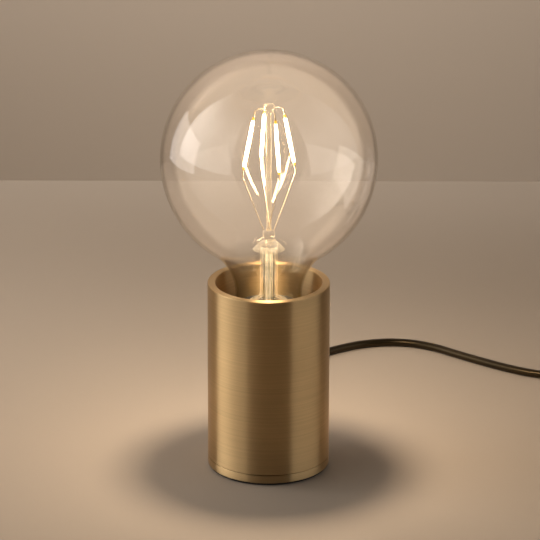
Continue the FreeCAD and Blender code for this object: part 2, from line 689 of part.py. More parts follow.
def build_cap_insulator():
    turned("cap_insulator", [
        (0, insulator_bottom), (dims.insulator_waist, insulator_bottom),
        (dims.insulator_radius, insulator_top - dims.insulator_edge),
        (dims.insulator_radius, insulator_top), (0, insulator_top)])


def build_bulb_cap():
    lip = dims.insulator_radius + dims.fit_gap
    low = insulator_top - dims.insulator_edge
    rise = dims.cap_radius - lip
    turned("bulb_cap", [
        (lip, low), (lip + dims.cap_wall, low), (dims.cap_radius, low + rise),
        (dims.cap_radius, dims.cap_top), (cap_bore, dims.cap_top), (cap_bore, low + rise + dims.cap_wall),
        (lip, low + dims.insulator_edge + dims.fit_gap)])


def build_driver_board():
    """Small driver board standing across the cap, with a capacitor and two chips."""
    half = root(cap_bore * cap_bore - dims.board_thickness * dims.board_thickness / 4) - dims.wall_gap
    bottom = insulator_top + dims.board_lift
    board = block("board", half * 2, dims.board_thickness, dims.board_height, z=bottom)
    front = dims.board_thickness / 2
    capacitor = cylinder("capacitor", dims.board_capacitor_radius, dims.board_capacitor_height,
                         x=-dims.board_chip_length / 2, y=-front - dims.board_capacitor_radius + dims.leaf,
                         z=bottom + dims.board_lift)
    chips = [block("chip", dims.board_chip_length, dims.board_chip_depth, dims.board_chip_height,
                   x=dims.board_chip_length * place_x, y=front * way + dims.board_chip_depth / 2 * way,
                   z=bottom + dims.board_lift) for place_x, way in ((dims.board_chip_place, -1), (0, 1))]
    node(fuse("board_joined", board, capacitor, *chips), "driver_board")


def glass_outline(inset):
    """Corners of the bulb's skin from its collar to its top, moved inwards by inset: collar, rounded
    shoulder, neck, wide throat and a globe whose lower half is a little deeper than its upper half."""
    inset = size(inset)
    throat = dims.throat_radius + inset
    lower = dims.lower_globe_radius - inset
    upper = dims.globe_radius - inset
    neck = dims.neck_radius - inset
    across = dims.neck_radius + dims.throat_radius - dims.globe_radius + dims.lower_globe_radius
    span = dims.lower_globe_radius + dims.throat_radius
    drop = root(span * span - across * across)
    share = lower / span
    return [
        (glass_collar, dims.cap_top + inset, dims.shoulder_radius - inset, "left"),
        (neck, shoulder_top),
        (neck, dims.globe_centre - drop, throat, "right"),
        (dims.globe_radius - dims.lower_globe_radius + across * share, dims.globe_centre - drop * share,
         lower, "left"),
        (upper, dims.globe_centre, upper, "left"),
        (0, dims.globe_centre + upper)]


def build_bulb_glass():
    outside = glass_outline(0)
    inside = glass_outline(dims.glass_wall)
    back = [(corner[0], corner[1]) for corner in reversed(inside)]
    turns = {"left": "right", "right": "left"}
    for index, corner in enumerate(reversed(inside[:-1])):
        if len(corner) > 2:
            back[index] = back[index] + (corner[2], turns[corner[3]])
    rim = glass_collar - dims.glass_wall
    turned("bulb_glass", [(glass_collar, glass_bottom)] + outside + back
           + [(rim, dims.cap_top + dims.glass_wall), (rim, glass_bottom)])


def build_bulb_stem():
    """Glass stem: flared foot, tube, drooping skirt and the flat pinch that grips the wires."""
    body = new_body("stem")
    wall = dims.stem_wall
    flare = dims.stem_flare_radius
    turn = dims.stem_flare_round
    outer = dims.stem_radius
    top = dims.stem_top
    shelf = dims.stem_flare_top
    revolve(body, draw(new_sketch(body), [
        (flare - wall, glass_bottom), (flare, glass_bottom), (flare, shelf),
        (outer + turn, shelf, turn, "right"), (outer, shelf + turn), (outer, top + dims.skirt_drop / 2),
        (dims.skirt_radius - dims.skirt_wall, top),
        (dims.skirt_radius, top + dims.skirt_wall / 2, dims.skirt_radius, "left"),
        (dims.skirt_crown, skirt_top + dims.skirt_wall / 2), (0, skirt_top + dims.skirt_wall / 2),
        (0, top - wall), (outer - wall, top - wall), (outer - wall, shelf + turn, turn + wall, "left"),
        (outer + turn, shelf - wall), (flare - wall, shelf - wall)]))
    sketch = new_sketch(body, "XY_Plane")
    half = dims.pinch_half_width
    depth = dims.pinch_half_depth
    flat = half - depth
    draw(sketch, [(-flat, -depth), (flat, -depth, depth, "left"), (half, 0, depth, "left"), (flat, depth),
                  (-flat, depth, depth, "left"), (-half, 0, depth, "left")])
    sketch.AttachmentOffset = Placement(Vector(0, 0, dims.stem_top.value), Rotation())
    sketch.setExpression("AttachmentOffset.Base.z", dims.stem_top.formula)
    pad(body, sketch, pinch_top - dims.stem_top)
    node(body, "bulb_stem")


def build_exhaust_tube():
    top = dims.stem_top - dims.stem_wall
    inner = dims.exhaust_bore
    outer = dims.exhaust_radius
    low = dims.exhaust_bottom
    turned("exhaust_tube", [(0, low), (inner, low), (outer, low + inner), (outer, top), (inner, top),
                            (inner, low + inner), (0, low + inner)])


def build_centre_post():
    """Glass rod from the pinch, with the bead at its top that the support wires come out of."""
    rod_radius = dims.post_rod_radius
    bead = dims.bead_radius
    low = dims.bead_bottom
    high = dims.bead_top
    turned("centre_post", [(0, pinch_top), (rod_radius, pinch_top), (rod_radius, low),
                           (bead, low + dims.post_rod_radius), (bead, high - rod_radius, rod_radius, "left"),
                           (bead - rod_radius, high), (0, high)])


def filament_point(index, pitch, height):
    """A point on one filament's line, at a pitch radius and a height."""
    angle = math.radians(SIZES["filament_turn"] + 360.0 / SIZES["filament_count"] * index)
    return Vector(pitch * math.cos(angle), pitch * math.sin(angle), height)


def filament_ends(index, beyond=0.0):
    """Lower and upper end of a filament, moved outwards along its own line by beyond."""
    low = filament_point(index, SIZES["filament_low_pitch"], SIZES["filament_low"])
    high = filament_point(index, SIZES["filament_high_pitch"], SIZES["filament_high"])
    along = (high - low).normalize()
    return low - along * beyond, high + along * beyond


def build_filaments():
    count = SIZES["filament_count"]
    tab = SIZES["tab_length"]
    rods = []
    tabs = []
    supports = []
    for index in range(count):
        low, high = filament_ends(index)
        tab_low, tab_high = filament_ends(index, tab)
        rods.append(rod("filament", dims.filament_radius, low, high))
        tabs.append(rod("lower_tab", dims.tab_radius, tab_low, low))
        tabs.append(rod("upper_tab", dims.tab_radius, high, tab_high))
        inner = filament_point(index, SIZES["bead_radius"], bead_middle.value)
        _, beyond_tab = filament_ends(index, tab + SIZES["wire_radius"])
        supports.append(rod("support_wire", dims.wire_radius, inner, beyond_tab))
    group("filaments", rods)
    group("filament_tabs", tabs)
    group("support_wires", supports)


def build_lead_wires():
    """Four wires fan out of the pinch to the filaments' lower tabs; two feed wires come up to it inside."""
    side = SIZES["side_lead_spacing"]
    offset = SIZES["middle_lead_offset"]
    depth = SIZES["middle_lead_depth"]
    starts = [(side, 0), (offset, depth), (-side, 0), (-offset, -depth)]
    leads = []
    for index, (x, y) in enumerate(starts[:SIZES["filament_count"]]):
        tab_low, _ = filament_ends(index, SIZES["tab_length"])
        leads.append(rod("lead_wire", dims.wire_radius, Vector(x, y, pinch_top.value), tab_low))
    group("lead_wires", leads)
    board_top = insulator_top + dims.board_lift + dims.board_height
    stem_roof = dims.stem_top - dims.stem_wall
    group("feed_wires", [cylinder("feed_wire", dims.wire_radius, stem_roof - board_top,
                                  x=dims.feed_spacing * way, z=board_top) for way in (-1, 1)])


# ---------------------------------------------------------------- cord
def vectors(points):
    return [Vector(*point) for point in points]


# How much of the shorter run an arc takes at a route's corner.
CORNER_SHARE = 0.45


def route_wire(label, points):
    """Straight runs joined by tangent arcs, each arc as large as its two runs allow."""
    edges = []
    here = points[0]
    radii = []
    for before, corner, after in zip(points, points[1:], points[2:]):
        back = before - corner
        ahead = after - corner
        half_turn = (math.pi - back.getAngle(ahead)) / 2
        reach = CORNER_SHARE * min(back.Length, ahead.Length)
        radii.append(reach / math.tan(half_turn))
        back.normalize()
        ahead.normalize()
        start = corner + back * reach
        finish = corner + ahead * reach
        inward = (back + ahead).normalize()
        middle = corner + inward * (radii[-1] / math.cos(half_turn) - radii[-1])
        edges.append(Part.LineSegment(here, start).toShape())
        edges.append(Part.Arc(start, middle, finish).toShape())
        here = finish
    edges.append(Part.LineSegment(here, points[-1]).toShape())
    print("%s: smallest radius %.1f mm" % (label, min(radii)))
    return Part.Wire(edges)


# Largest share by which a swept tube's volume may miss its section times its length.
VOLUME_LIMIT = 0.01


def tube(label, wire, radius):
    """A round solid swept along a wire, checked against its section times its length."""
    edge = wire.Edges[0]
    start = edge.valueAt(edge.FirstParameter)
    along = edge.tangentAt(edge.FirstParameter)
    ring = Part.Wire(Part.Circle(start, along, radius).toShape())
    solid = wire.makePipeShell([ring], True, False)
    expected = math.pi * radius ** 2 * wire.Length
    if abs(solid.Volume / expected - 1) > VOLUME_LIMIT:
        raise ValueError("%s has the wrong volume" % label)
    print("%s: %.1f mm long" % (label, wire.Length))
    thing = document.addObject("Part::Feature", label)
    thing.Shape = solid
    return node(thing, label)


def build_cords():
    """The stretch inside starts at the strain relief's inner face, and the free run at its tip."""
    held = vectors(INNER_POINTS)
    share = relief_inside.value / held[0].y
    for point in held:
        point.y = point.y * share
    run = vectors(RUN_POINTS)
    shift = relief_end.value - run[0].y
    for point in run[:2]:
        point.y = point.y + shift
    routes = {"cord_run": run, "cord_link": vectors(LINK_POINTS), "cord_tail": vectors(TAIL_POINTS),
              "inner_cord": held}
    for label, points in routes.items():
        tube(label, route_wire(label, points), SIZES["cord_radius"])


def biarc(start, along, finish, onward):
    """Two arcs that join two points along two given directions, with no corner between them."""
    chord = finish - start
    both = along + onward
    spread = 2 * (1 - along.dot(onward))
    reach = (math.sqrt(chord.dot(both) ** 2 + spread * chord.dot(chord)) - chord.dot(both)) / spread
    first = start + along * reach
    second = finish - onward * reach
    middle = (first + second) / 2
    edges = []
    for tail, corner, head in ((start, first, middle), (middle, second, finish)):
        centre = (tail + head) / 2
        rise = corner - centre
        half = (head - tail).Length / 2
        sagitta = half * math.tan(math.atan2(rise.Length, half) / 2)
        edges.append(Part.Arc(tail, centre + rise.normalize() * sagitta, head).toShape())
    return edges


def build_cord_coil():
    """One unbroken tube: it winds clockwise and inwards on the table, climbs a layer in the half turn
    where the spiral reverses, and winds outwards again on top."""
    radius = SIZES["cord_radius"]
    turns = SIZES["coil_turns"]
    pitch = SIZES["coil_pitch"]
    layer = SIZES["coil_layer"]
    outer = coil_outer.value
    end = SIZES["coil_end"]
    entry = vectors(LINK_POINTS)[-1]
    middle = entry + Vector(-outer, -end, 0)
    quarters = 4 * turns

    def at(quarter):
        """A point of the spiral and its direction after so many quarter turns."""
        inward = quarters / 2 - abs(quarter - quarters / 2)
        distance = outer - pitch * inward / 4
        steady = 0 < quarter < quarters and quarter != quarters / 2
        slope = 0.0
        if steady:
            slope = -pitch / (2 * math.pi) * (1 if quarter < quarters / 2 else -1)
        climbed = min(max((quarter - quarters / 2 + 1) / 2, 0), 1)
        rising = layer / math.pi * 1.5 if 0 < climbed < 1 else 0.0
        angle = -quarter * math.pi / 2
        outwards = Vector(math.cos(angle), math.sin(angle), 0)
        onwards = Vector(math.sin(angle), -math.cos(angle), 0)
        direction = outwards * slope + onwards * distance + Vector(0, 0, rising)
        return middle + outwards * distance + Vector(0, 0, layer * climbed), direction.normalize()

    edges = [Part.LineSegment(entry, at(0)[0]).toShape()]
    for quarter in range(quarters):
        edges += biarc(*at(quarter), *at(quarter + 1))
    last = at(quarters)[0]
    edges.append(Part.LineSegment(last, last + Vector(0, -end, 0)).toShape())
    wire = Part.Wire(edges)
    coil = tube("cord_coil", wire, radius)
    print("cord_coil: least gap to itself %.2f mm" % gap_to_itself(wire, 2 * radius))
    return coil


def gap_to_itself(wire, diameter):
    """Least distance between points of a wire that lie far apart along it, less the tube's diameter."""
    points = wire.discretize(Distance=diameter * 0.3)
    step = wire.Length / (len(points) - 1)
    apart = int(4 * diameter / step)
    least = min((points[i] - points[j]).Length
                for i in range(len(points)) for j in range(i + apart, len(points)))
    return least - diameter


def build_strain_relief():
    """Tapered boot of the cord: a snap groove in the tube's wall, ribs outside and a collar inside."""
    body = new_body("relief")
    inner = relief_inside
    seat = dims.tube_radius + dims.fit_gap
    collar = seat + dims.relief_collar
    outline = [(0, inner), (dims.relief_collar_radius, inner),
               (dims.relief_collar_radius, inner + dims.relief_inner_collar),
               (dims.relief_neck, inner + dims.relief_inner_collar), (dims.relief_neck, seat),
               (dims.relief_collar_radius, seat), (dims.relief_collar_radius, collar),
               (dims.relief_root, collar)]
    ribs = SIZES["relief_ribs"]
    crest = dims.relief_rib_share
    step = (relief_end - collar) / ribs
    for rib in range(ribs):
        wide = dims.relief_root - (dims.relief_root - dims.relief_tip) * ((crest + rib) / ribs)
        waist = wide - dims.relief_waist
        low = collar + step * rib
        outline += [(wide, low + step * crest), (waist, low + step * (crest + dims.relief_rib_slope)),
                    (waist, low + step)]
        if rib < ribs - 1:
            outline.append((wide, low + step))
    outline.append((0, relief_end))
    sketch = draw(new_sketch(body, "XY_Plane"), outline)
    revolve(body, sketch)
    place(body, z=dims.cord_exit_height)
    node(body, "strain_relief")


def build_core_wires():
    """The cord's two cores, from the end of its sheath up to the terminal posts."""
    sheath = vectors(INNER_POINTS)[-1]
    wires = {"live_wire": -1, "neutral_wire": 1}
    for label, side in wires.items():
        x = SIZES["post_pitch"] * side
        foot = post_bottom.value + SIZES["core_wire_entry"]
        start = sheath + Vector(side * (SIZES["core_wire_radius"] + SIZES["fit_gap"]), 0, 0)
        points = [start, start + Vector(0, 0, SIZES["core_wire_rise"]),
                  Vector(x, 0, foot - SIZES["core_wire_run_in"]), Vector(x, 0, foot)]
        tube(label, route_wire(label, points), SIZES["core_wire_radius"])


# ---------------------------------------------------------------- switch on the cord
def rounded_plan(body, length, width, corner, z):
    """Rounded rectangle about the body's origin, drawn at a height."""
    sketch = new_sketch(body, "XY_Plane")
    x = length / 2
    y = width / 2
    draw(sketch, [(x - corner, -y, corner, "left"), (x, corner - y), (x, y - corner, corner, "left"),
                  (x - corner, y), (corner - x, y, corner, "left"), (-x, y - corner),
                  (-x, corner - y, corner, "left"), (corner - x, -y)])
    sketch.AttachmentOffset = Placement(Vector(0, 0, size(z).value), Rotation())
    sketch.setExpression("AttachmentOffset.Base.z", size(z).formula)
    return sketch


def round_edges(body, base, height, radius):
    """Rounds every edge of a feature that lies at one height."""
    document.recompute()
    names = []
    for index, edge in enumerate(base.Shape.Edges, start=1):
        box = edge.BoundBox
        if abs(box.ZMin - height) < 1e-4 and abs(box.ZMax - height) < 1e-4:
            names.append("Edge%d" % index)
    feature = body.newObject("PartDesign::Fillet", body.Name + "_rounding")
    feature.Base = (base, names)
    bind(feature, Radius=radius)
    return feature


def housing_half(name, bottom, height, round_height, holes):
    body = new_body(name)
    shell = pad(body, rounded_plan(body, dims.switch_length, dims.switch_width, dims.switch_corner, bottom),
                height)
    round_edges(body, shell, round_height, dims.switch_edge)
    place(body, x=dims.switch_middle_x, y=dims.switch_middle_y)
    return cut(name + "_hollow", body, *holes)


def switch_screw_holes():
    holes = []
    for side in (-1, 1):
        x = dims.switch_middle_x + dims.switch_screw_pitch * side
        holes.append(cylinder("switch_screw_way", dims.switch_screw_radius + dims.thread_clearance,
                              dims.switch_screw_top + dims.fit_gap, x=x, y=dims.switch_middle_y))
        holes.append(cylinder("switch_head_way", dims.switch_head_radius + dims.fit_gap,
                              dims.switch_head_height + dims.head_recess, x=x, y=dims.switch_middle_y))
    return holes


def build_switch_housings():
    x = dims.switch_middle_x
    y = dims.switch_middle_y
    lower_cavity = block("lower_cavity", dims.switch_cavity_length, dims.switch_cavity_width,
                         switch_split, x=x, y=y, z=dims.switch_wall)
    node(housing_half("switch_lower", 0, switch_split, 0, [lower_cavity] + switch_screw_holes()),
         "switch_lower_housing")
    upper_cavity = block("upper_cavity", dims.switch_cavity_length, dims.switch_cavity_width,
                         switch_split - dims.switch_wall, x=x, y=y, z=switch_split)
    window = block("rocker_window", dims.window_length, dims.window_width, dims.switch_height, x=x, y=y,
                   z=switch_split)
    half_pin = dims.pivot_length / 2 + dims.fit_gap
    pin_way = cylinder("pin_way", dims.pivot_radius + dims.pivot_clearance, half_pin * 2, x=x, y=y - half_pin,
                       z=dims.pivot_height, along=Vector(0, 1, 0))
    node(housing_half("switch_upper", switch_split, switch_split, dims.switch_height.value,
                      [upper_cavity, window, pin_way] + switch_screw_holes()), "switch_upper_housing")


def build_switch_rocker():
    """Two-sided rocker key, tilted to its on side."""
    body = new_body("rocker")
    half = dims.rocker_length / 2
    keel = dims.rocker_keel_half
    outline = [(-half, dims.rocker_tip), (-half, dims.rocker_side), (-keel, -dims.rocker_keel),
               (keel, -dims.rocker_keel), (half, dims.rocker_side), (half, dims.rocker_tip),
               (0, dims.rocker_dip)]
    sketch = draw(new_sketch(body), outline)
    draw_circle(sketch, 0, 0, dims.pivot_radius + dims.pivot_clearance)
    pad(body, sketch, dims.rocker_width, middle=True)
    place(body, x=dims.switch_middle_x, y=dims.switch_middle_y, z=dims.pivot_height)
    body.Placement.Rotation = Rotation(Vector(0, 1, 0), SIZES["rocker_tilt"])
    node(body, "switch_rocker")


def build_rocker_pin():
    node(cylinder("rocker_pin", dims.pivot_radius, dims.pivot_length, x=dims.switch_middle_x,
                  y=dims.switch_middle_y - dims.pivot_length / 2, z=dims.pivot_height,
                  along=Vector(0, 1, 0)), "rocker_pin")


def build_switch_screws():
    head = dims.switch_head_radius
    shank = dims.switch_screw_radius
    screw = screws("switch_screws", [(0, 0), (head, 0), (head, dims.switch_head_height),
                                     (shank, dims.switch_head_height),
                                     (shank, dims.switch_screw_top - dims.head_recess),
                                     (0, dims.switch_screw_top - dims.head_recess)],
                   dims.switch_screw_pitch, 2)
    place(screw, x=dims.switch_middle_x, y=dims.switch_middle_y, z=dims.head_recess)


def build_switch_contacts():
    group("switch_contacts", [block("switch_contact", dims.contact_length, dims.contact_width,
                                    dims.contact_height, x=dims.switch_middle_x,
                                    y=dims.switch_middle_y + dims.contact_spacing * side,
                                    z=dims.switch_wall) for side in (-1, 1)])


# ---------------------------------------------------------------- mains plug
def plug_place():
    """Middle of the plug's pin face; its pins point to the front and its boot to the back."""
    x, y, z = TAIL_POINTS[-1]
    return {"x": x, "y": y - dims.plug_length - dims.boot_length, "z": dims.plug_thickness / 2}


def build_plug_body():
    """Flat two-pin plug: a body that narrows to its heel and a ribbed boot moulded on it."""
    body = new_body("plug_moulding")
    half = dims.plug_width / 2
    heel = dims.plug_heel
    corner = dims.plug_corner
    length = dims.plug_length
    sketch = draw(new_sketch(body, "XY_Plane"), [
        (half - corner, 0, corner, "left"), (half, corner), (half, dims.plug_shoulder), (heel, length),
        (-heel, length), (-half, dims.plug_shoulder), (-half, corner, corner, "left"), (corner - half, 0)])
    block_pad = pad(body, sketch, dims.plug_thickness, middle=True)
    top = round_edges(body, block_pad, SIZES["plug_thickness"] / 2, dims.plug_edge)
    round_edges(body, top, -SIZES["plug_thickness"] / 2, dims.plug_edge)
    ribs = SIZES["boot_ribs"]
    step = dims.boot_length / ribs
    outline = [(0, length - dims.plug_edge), (dims.boot_root, length - dims.plug_edge)]
    for rib in range(ribs):
        wide = dims.boot_root - (dims.boot_root - dims.boot_tip) * (rib / (ribs - 1))
        low = length + step * rib
        crest = low + step * dims.boot_rib_share
        outline += [(wide, low), (wide, crest)]
        outline += [(wide - dims.boot_waist, crest), (wide - dims.boot_waist, low + step)]
    outline.append((0, length + dims.boot_length))
    revolve(body, draw(new_sketch(body, "XY_Plane"), outline))
    place(body, **plug_place())
    node(body, "plug_body")


def pin_pair(label, corners):
    """Two identical turned pieces side by side along the front-back direction of the plug."""
    body = new_body(label)
    offset = dims.pin_pitch / 2
    sketch = draw(new_sketch(body, "XY_Plane"), [(offset + corner[0],) + tuple(corner[1:])
                                                 for corner in corners])
    draw_axis(sketch, offset, -1, 0)
    one = revolve(body, sketch, "Axis0")
    both = body.newObject("PartDesign::Mirrored", label + "_mirrored")
    both.Originals = [one]
    both.MirrorPlane = (origin_part(body, "YZ_Plane"), [""])
    body.Tip = both
    place(body, **plug_place())
    return node(body, label)


def build_plug_pins():
    radius = dims.pin_radius
    core = dims.pin_core
    edge = dims.pin_round
    length = dims.pin_length
    neck = dims.pin_length - dims.pin_tip
    pin_pair("plug_pins", [(0, 0), (0, -length), (radius - edge, -length, edge, "left"),
                           (radius, edge - length), (radius, -neck), (core, -neck), (core, 0)])
    outer = dims.sleeve_radius
    pin_pair("plug_sleeves", [(core, 0), (core, -neck), (outer, -neck), (outer, 0)])


BUILDERS = [
    build_foot_pad, build_base_plate, build_body_tube, build_base_screws, build_holder_bracket,
    build_bracket_screws, build_nipple, build_nipple_nut, build_nipple_washer, build_cord_clamp,
    build_clamp_screws, build_holder_cap, build_holder_body, build_holder_core, build_holder_screw_shell,
    build_centre_contact, build_side_contact, build_terminal_screws, build_cap_contact,
    build_cap_insulator, build_bulb_cap, build_driver_board, build_bulb_glass, build_bulb_stem,
    build_exhaust_tube, build_centre_post, build_filaments, build_lead_wires, build_strain_relief,
    build_cords, build_cord_coil, build_core_wires, build_switch_housings, build_switch_rocker,
    build_rocker_pin, build_switch_screws, build_switch_contacts, build_plug_body, build_plug_pins,
]


def check_document():
    """Stops on any object that failed and on any sub-part without a whole, valid solid."""
    for thing in document.Objects:
        if "Invalid" in thing.State or "Error" in thing.State:
            raise RuntimeError("%s failed: %s" % (thing.Label, thing.State))
    for label, thing in nodes.items():
        shape = thing.Shape
        if shape.isNull() or not shape.isValid() or not shape.Solids:
            raise RuntimeError("%s has no valid solid" % label)


def write_parts():
    os.makedirs("parts", exist_ok=True)
    for label, thing in nodes.items():
        thing.Shape.exportStep("parts/%s.step" % label)
    print("%d sub-parts written" % len(nodes))


fill_sheet()
for build in BUILDERS:
    build()
document.recompute()
check_document()
write_parts()
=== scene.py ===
"""Looks of a table lamp with a bare globe bulb: a brushed brass tube on a brass foot, a clear filament bulb
in its lampholder, and a black mains cord with a switch and a plug. Everything is in metres, in the frame of
the packed model: the origin is the middle of the foot on the table, +Z is up and +Y is the back."""
import math

import bmesh
import bpy
import numpy as np
from bpy.props import FloatProperty, FloatVectorProperty, IntProperty, PointerProperty
from mathutils import Euler, Matrix, Vector


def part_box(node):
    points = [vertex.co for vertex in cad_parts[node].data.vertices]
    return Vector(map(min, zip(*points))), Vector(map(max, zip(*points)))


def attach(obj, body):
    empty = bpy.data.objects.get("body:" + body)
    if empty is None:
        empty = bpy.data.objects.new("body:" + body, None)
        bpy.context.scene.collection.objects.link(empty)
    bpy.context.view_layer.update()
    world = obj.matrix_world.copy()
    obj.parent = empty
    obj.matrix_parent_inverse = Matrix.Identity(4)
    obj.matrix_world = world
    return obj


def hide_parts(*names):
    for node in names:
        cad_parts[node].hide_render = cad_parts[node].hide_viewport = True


bl_info = {
    "name": "Bare Bulb Table Lamp",
    "version": (1, 0, 0),
    "blender": (4, 5, 0),
    "location": "3D View > Sidebar > Lamp",
    "description": "Builds a brass table lamp with a globe filament bulb",
    "category": "Add Mesh",
}

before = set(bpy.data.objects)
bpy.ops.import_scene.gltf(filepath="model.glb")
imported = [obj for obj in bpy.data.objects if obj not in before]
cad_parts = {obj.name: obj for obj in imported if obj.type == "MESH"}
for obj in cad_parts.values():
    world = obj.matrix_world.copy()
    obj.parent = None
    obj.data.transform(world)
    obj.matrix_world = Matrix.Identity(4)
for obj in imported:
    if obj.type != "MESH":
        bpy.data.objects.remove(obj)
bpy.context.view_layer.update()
MM = 0.001
TURN = 2 * math.pi
DEGREES = 180 / math.pi


def corners(name):
    """Low and high corner of the box round a CAD node."""
    return [Vector(corner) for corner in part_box(name)]


# The boxes that the new pieces take their places from.
TUBE_LOW, TUBE_HIGH = corners("body_tube")
BAND_LOW, BAND_HIGH = corners("base_plate")
PAD_LOW, PAD_HIGH = corners("foot_pad")
HOLDER_LOW, HOLDER_HIGH = corners("holder_body")
DOME_LOW, DOME_HIGH = corners("holder_cap")
GLASS_LOW, GLASS_HIGH = corners("bulb_glass")
CAP_LOW, CAP_HIGH = corners("bulb_cap")


# ---------------------------------------------------------------- settings
class LampBodySettings(bpy.types.PropertyGroup):
    """Brass body and foot."""
    wall: FloatProperty(name="Wall", description="Thickness of the brass tube", default=4.5 * MM,
                        unit="LENGTH")
    rim_round: FloatProperty(name="Rim Round", description="Rounding of the tube's rim",
                             default=0.6 * MM, unit="LENGTH")
    lug_pitch: FloatProperty(name="Lug Pitch", description="Distance of the lugs' holes from the axis",
                             default=25 * MM, min=0, unit="LENGTH")
    lug_half_width: FloatProperty(name="Lug Half Width", description="Half the width of a lug",
                                  default=4.8 * MM, min=0, unit="LENGTH")
    seam: FloatProperty(name="Seam", description="Dark gap between the tube and its foot",
                        default=0.28 * MM, unit="LENGTH")
    brass: FloatVectorProperty(name="Brass", description="Colour of the brass", size=3, min=0, max=1,
                               default=(0.63, 0.45, 0.235), subtype="COLOR")
    grain: FloatProperty(name="Grain", description="Width of the finest brushed line",
                         default=0.16 * MM, unit="LENGTH")


class LampBulbSettings(bpy.types.PropertyGroup):
    """Globe bulb and its filaments."""
    glass_wall: FloatProperty(name="Glass Wall", description="Thickness of the globe's glass",
                              default=0.9 * MM, unit="LENGTH")
    tint: FloatVectorProperty(name="Tint", description="Tint of the globe's glass", size=3, min=0, max=1,
                              default=(0.985, 0.972, 0.952), subtype="COLOR")
    haze: FloatProperty(name="Haze", description="Share of light that the globe's glass scatters",
                        default=0.0108, min=0, max=0.05, subtype="FACTOR")
    filament_turns: FloatVectorProperty(name="Turns", description="Directions of the filaments", size=4,
                                        default=[math.radians(turn) for turn in (15.5, 107.5, 197, 293)],
                                        subtype="NONE")
    glow: FloatProperty(name="Glow", description="Strength of the lit filaments", default=26.0, min=0)
    lamp_power: FloatProperty(name="Lamp Power", description="Warm light that the filaments throw",
                              default=2.5, min=0, subtype="POWER")
    thread_pitch: FloatProperty(name="Thread Pitch", description="Rise of the cap's thread in a turn",
                                default=3.629 * MM, unit="LENGTH")


class LampCordSettings(bpy.types.PropertyGroup):
    """Mains cord."""
    diameter: FloatProperty(name="Diameter", description="Outside of the cord's sheath", default=5 * MM,
                            unit="LENGTH")
    coil_turns: IntProperty(name="Coil Turns", description="Turns of the put-away coil", default=7, min=2)


class LampStageSettings(bpy.types.PropertyGroup):
    """Camera, floor and wall."""
    lens: FloatProperty(name="Lens", description="Focal length", default=0.2617, unit="CAMERA")
    tilt: FloatProperty(name="Tilt", description="How far the camera looks down",
                        default=math.radians(19.96), subtype="ANGLE")
    roll: FloatProperty(name="Roll", description="Turn of the picture", default=math.radians(0.12),
                        subtype="ANGLE")
    floor: FloatVectorProperty(name="Floor", description="Colour of the floor", size=3, min=0, max=1,
                               default=(0.405, 0.340, 0.279), subtype="COLOR")
    wall: FloatVectorProperty(name="Wall", description="Colour of the wall", size=3, min=0, max=1,
                              default=(0.38, 0.322, 0.268), subtype="COLOR")


SETTINGS = {
    "lamp_body": LampBodySettings,
    "lamp_bulb": LampBulbSettings,
    "lamp_cord": LampCordSettings,
    "lamp_stage": LampStageSettings,
}


# ---------------------------------------------------------------- surfaces
def arc(centre, radius, start, finish, count=12):
    """Points of a circular arc in the (radius, height) plane, angles in degrees from the outward axis."""
    angle = np.radians(np.linspace(start, finish, count))
    return np.stack([centre[0] + radius * np.cos(angle), centre[1] + radius * np.sin(angle)], axis=1)


def upright(radius, start, finish, count):
    """Points of an upright line in the (radius, height) plane."""
    return np.column_stack([np.full(count, radius), np.linspace(start, finish, count)])


def circle(count):
    """Angles of evenly spaced points round a circle."""
    return np.arange(count) * TURN / count


def revolved(radius, height, angle):
    """Grid of points (r cos a, r sin a, z)."""
    return np.stack(np.broadcast_arrays(radius * np.cos(angle), radius * np.sin(angle), height), axis=-1)


def squared(wave, power):
    """A wave with its sign kept and its size raised to a power: with a power under 1, the sine and cosine
    of a circle give a rounded square."""
    return np.sign(wave) * np.abs(wave) ** power


def surface(name, points, round_u=True, round_v=False):
    """A mesh of quads over a grid of points (v rows, u columns); round_u or round_v joins its far edges.
    Rows that shrink to a point are merged, so poles and seams are closed, and faces are turned outwards."""
    rows, columns = points.shape[:2]
    u = np.arange(columns if round_u else columns - 1)
    v = np.arange(rows if round_v else rows - 1)
    v, u = np.meshgrid(v, u, indexing="ij")
    next_u = (u + 1) % columns
    next_v = (v + 1) % rows
    quads = np.stack([v * columns + u, v * columns + next_u, next_v * columns + next_u,
                      next_v * columns + u], axis=-1).reshape(-1, 4)
    mesh = bpy.data.meshes.new(name)
    mesh.from_pydata(points.reshape(-1, 3).tolist(), [], quads.tolist())
    work = bmesh.new()
    work.from_mesh(mesh)
    bmesh.ops.remove_doubles(work, verts=work.verts, dist=1e-7)
    bmesh.ops.dissolve_degenerate(work, edges=work.edges, dist=1e-8)
    bmesh.ops.recalc_face_normals(work, faces=work.faces)
    return new_piece(name, mesh, work)


def new_piece(name, mesh, work):
    """Puts the worked mesh into the scene with smooth shading."""
    work.to_mesh(mesh)
    work.free()
    mesh.shade_smooth()
    piece = bpy.data.objects.new(name, mesh)
    bpy.context.scene.collection.objects.link(piece)
    return piece


def lathe(name, outline, steps, closed=True):
    """Surface of revolution: (r, z) of the outline carried round as (r cos a, r sin a, z)."""
    outline = np.asarray(outline, float)
    return surface(name, revolved(outline[:, :1], outline[:, 1:], circle(steps)), round_v=closed)


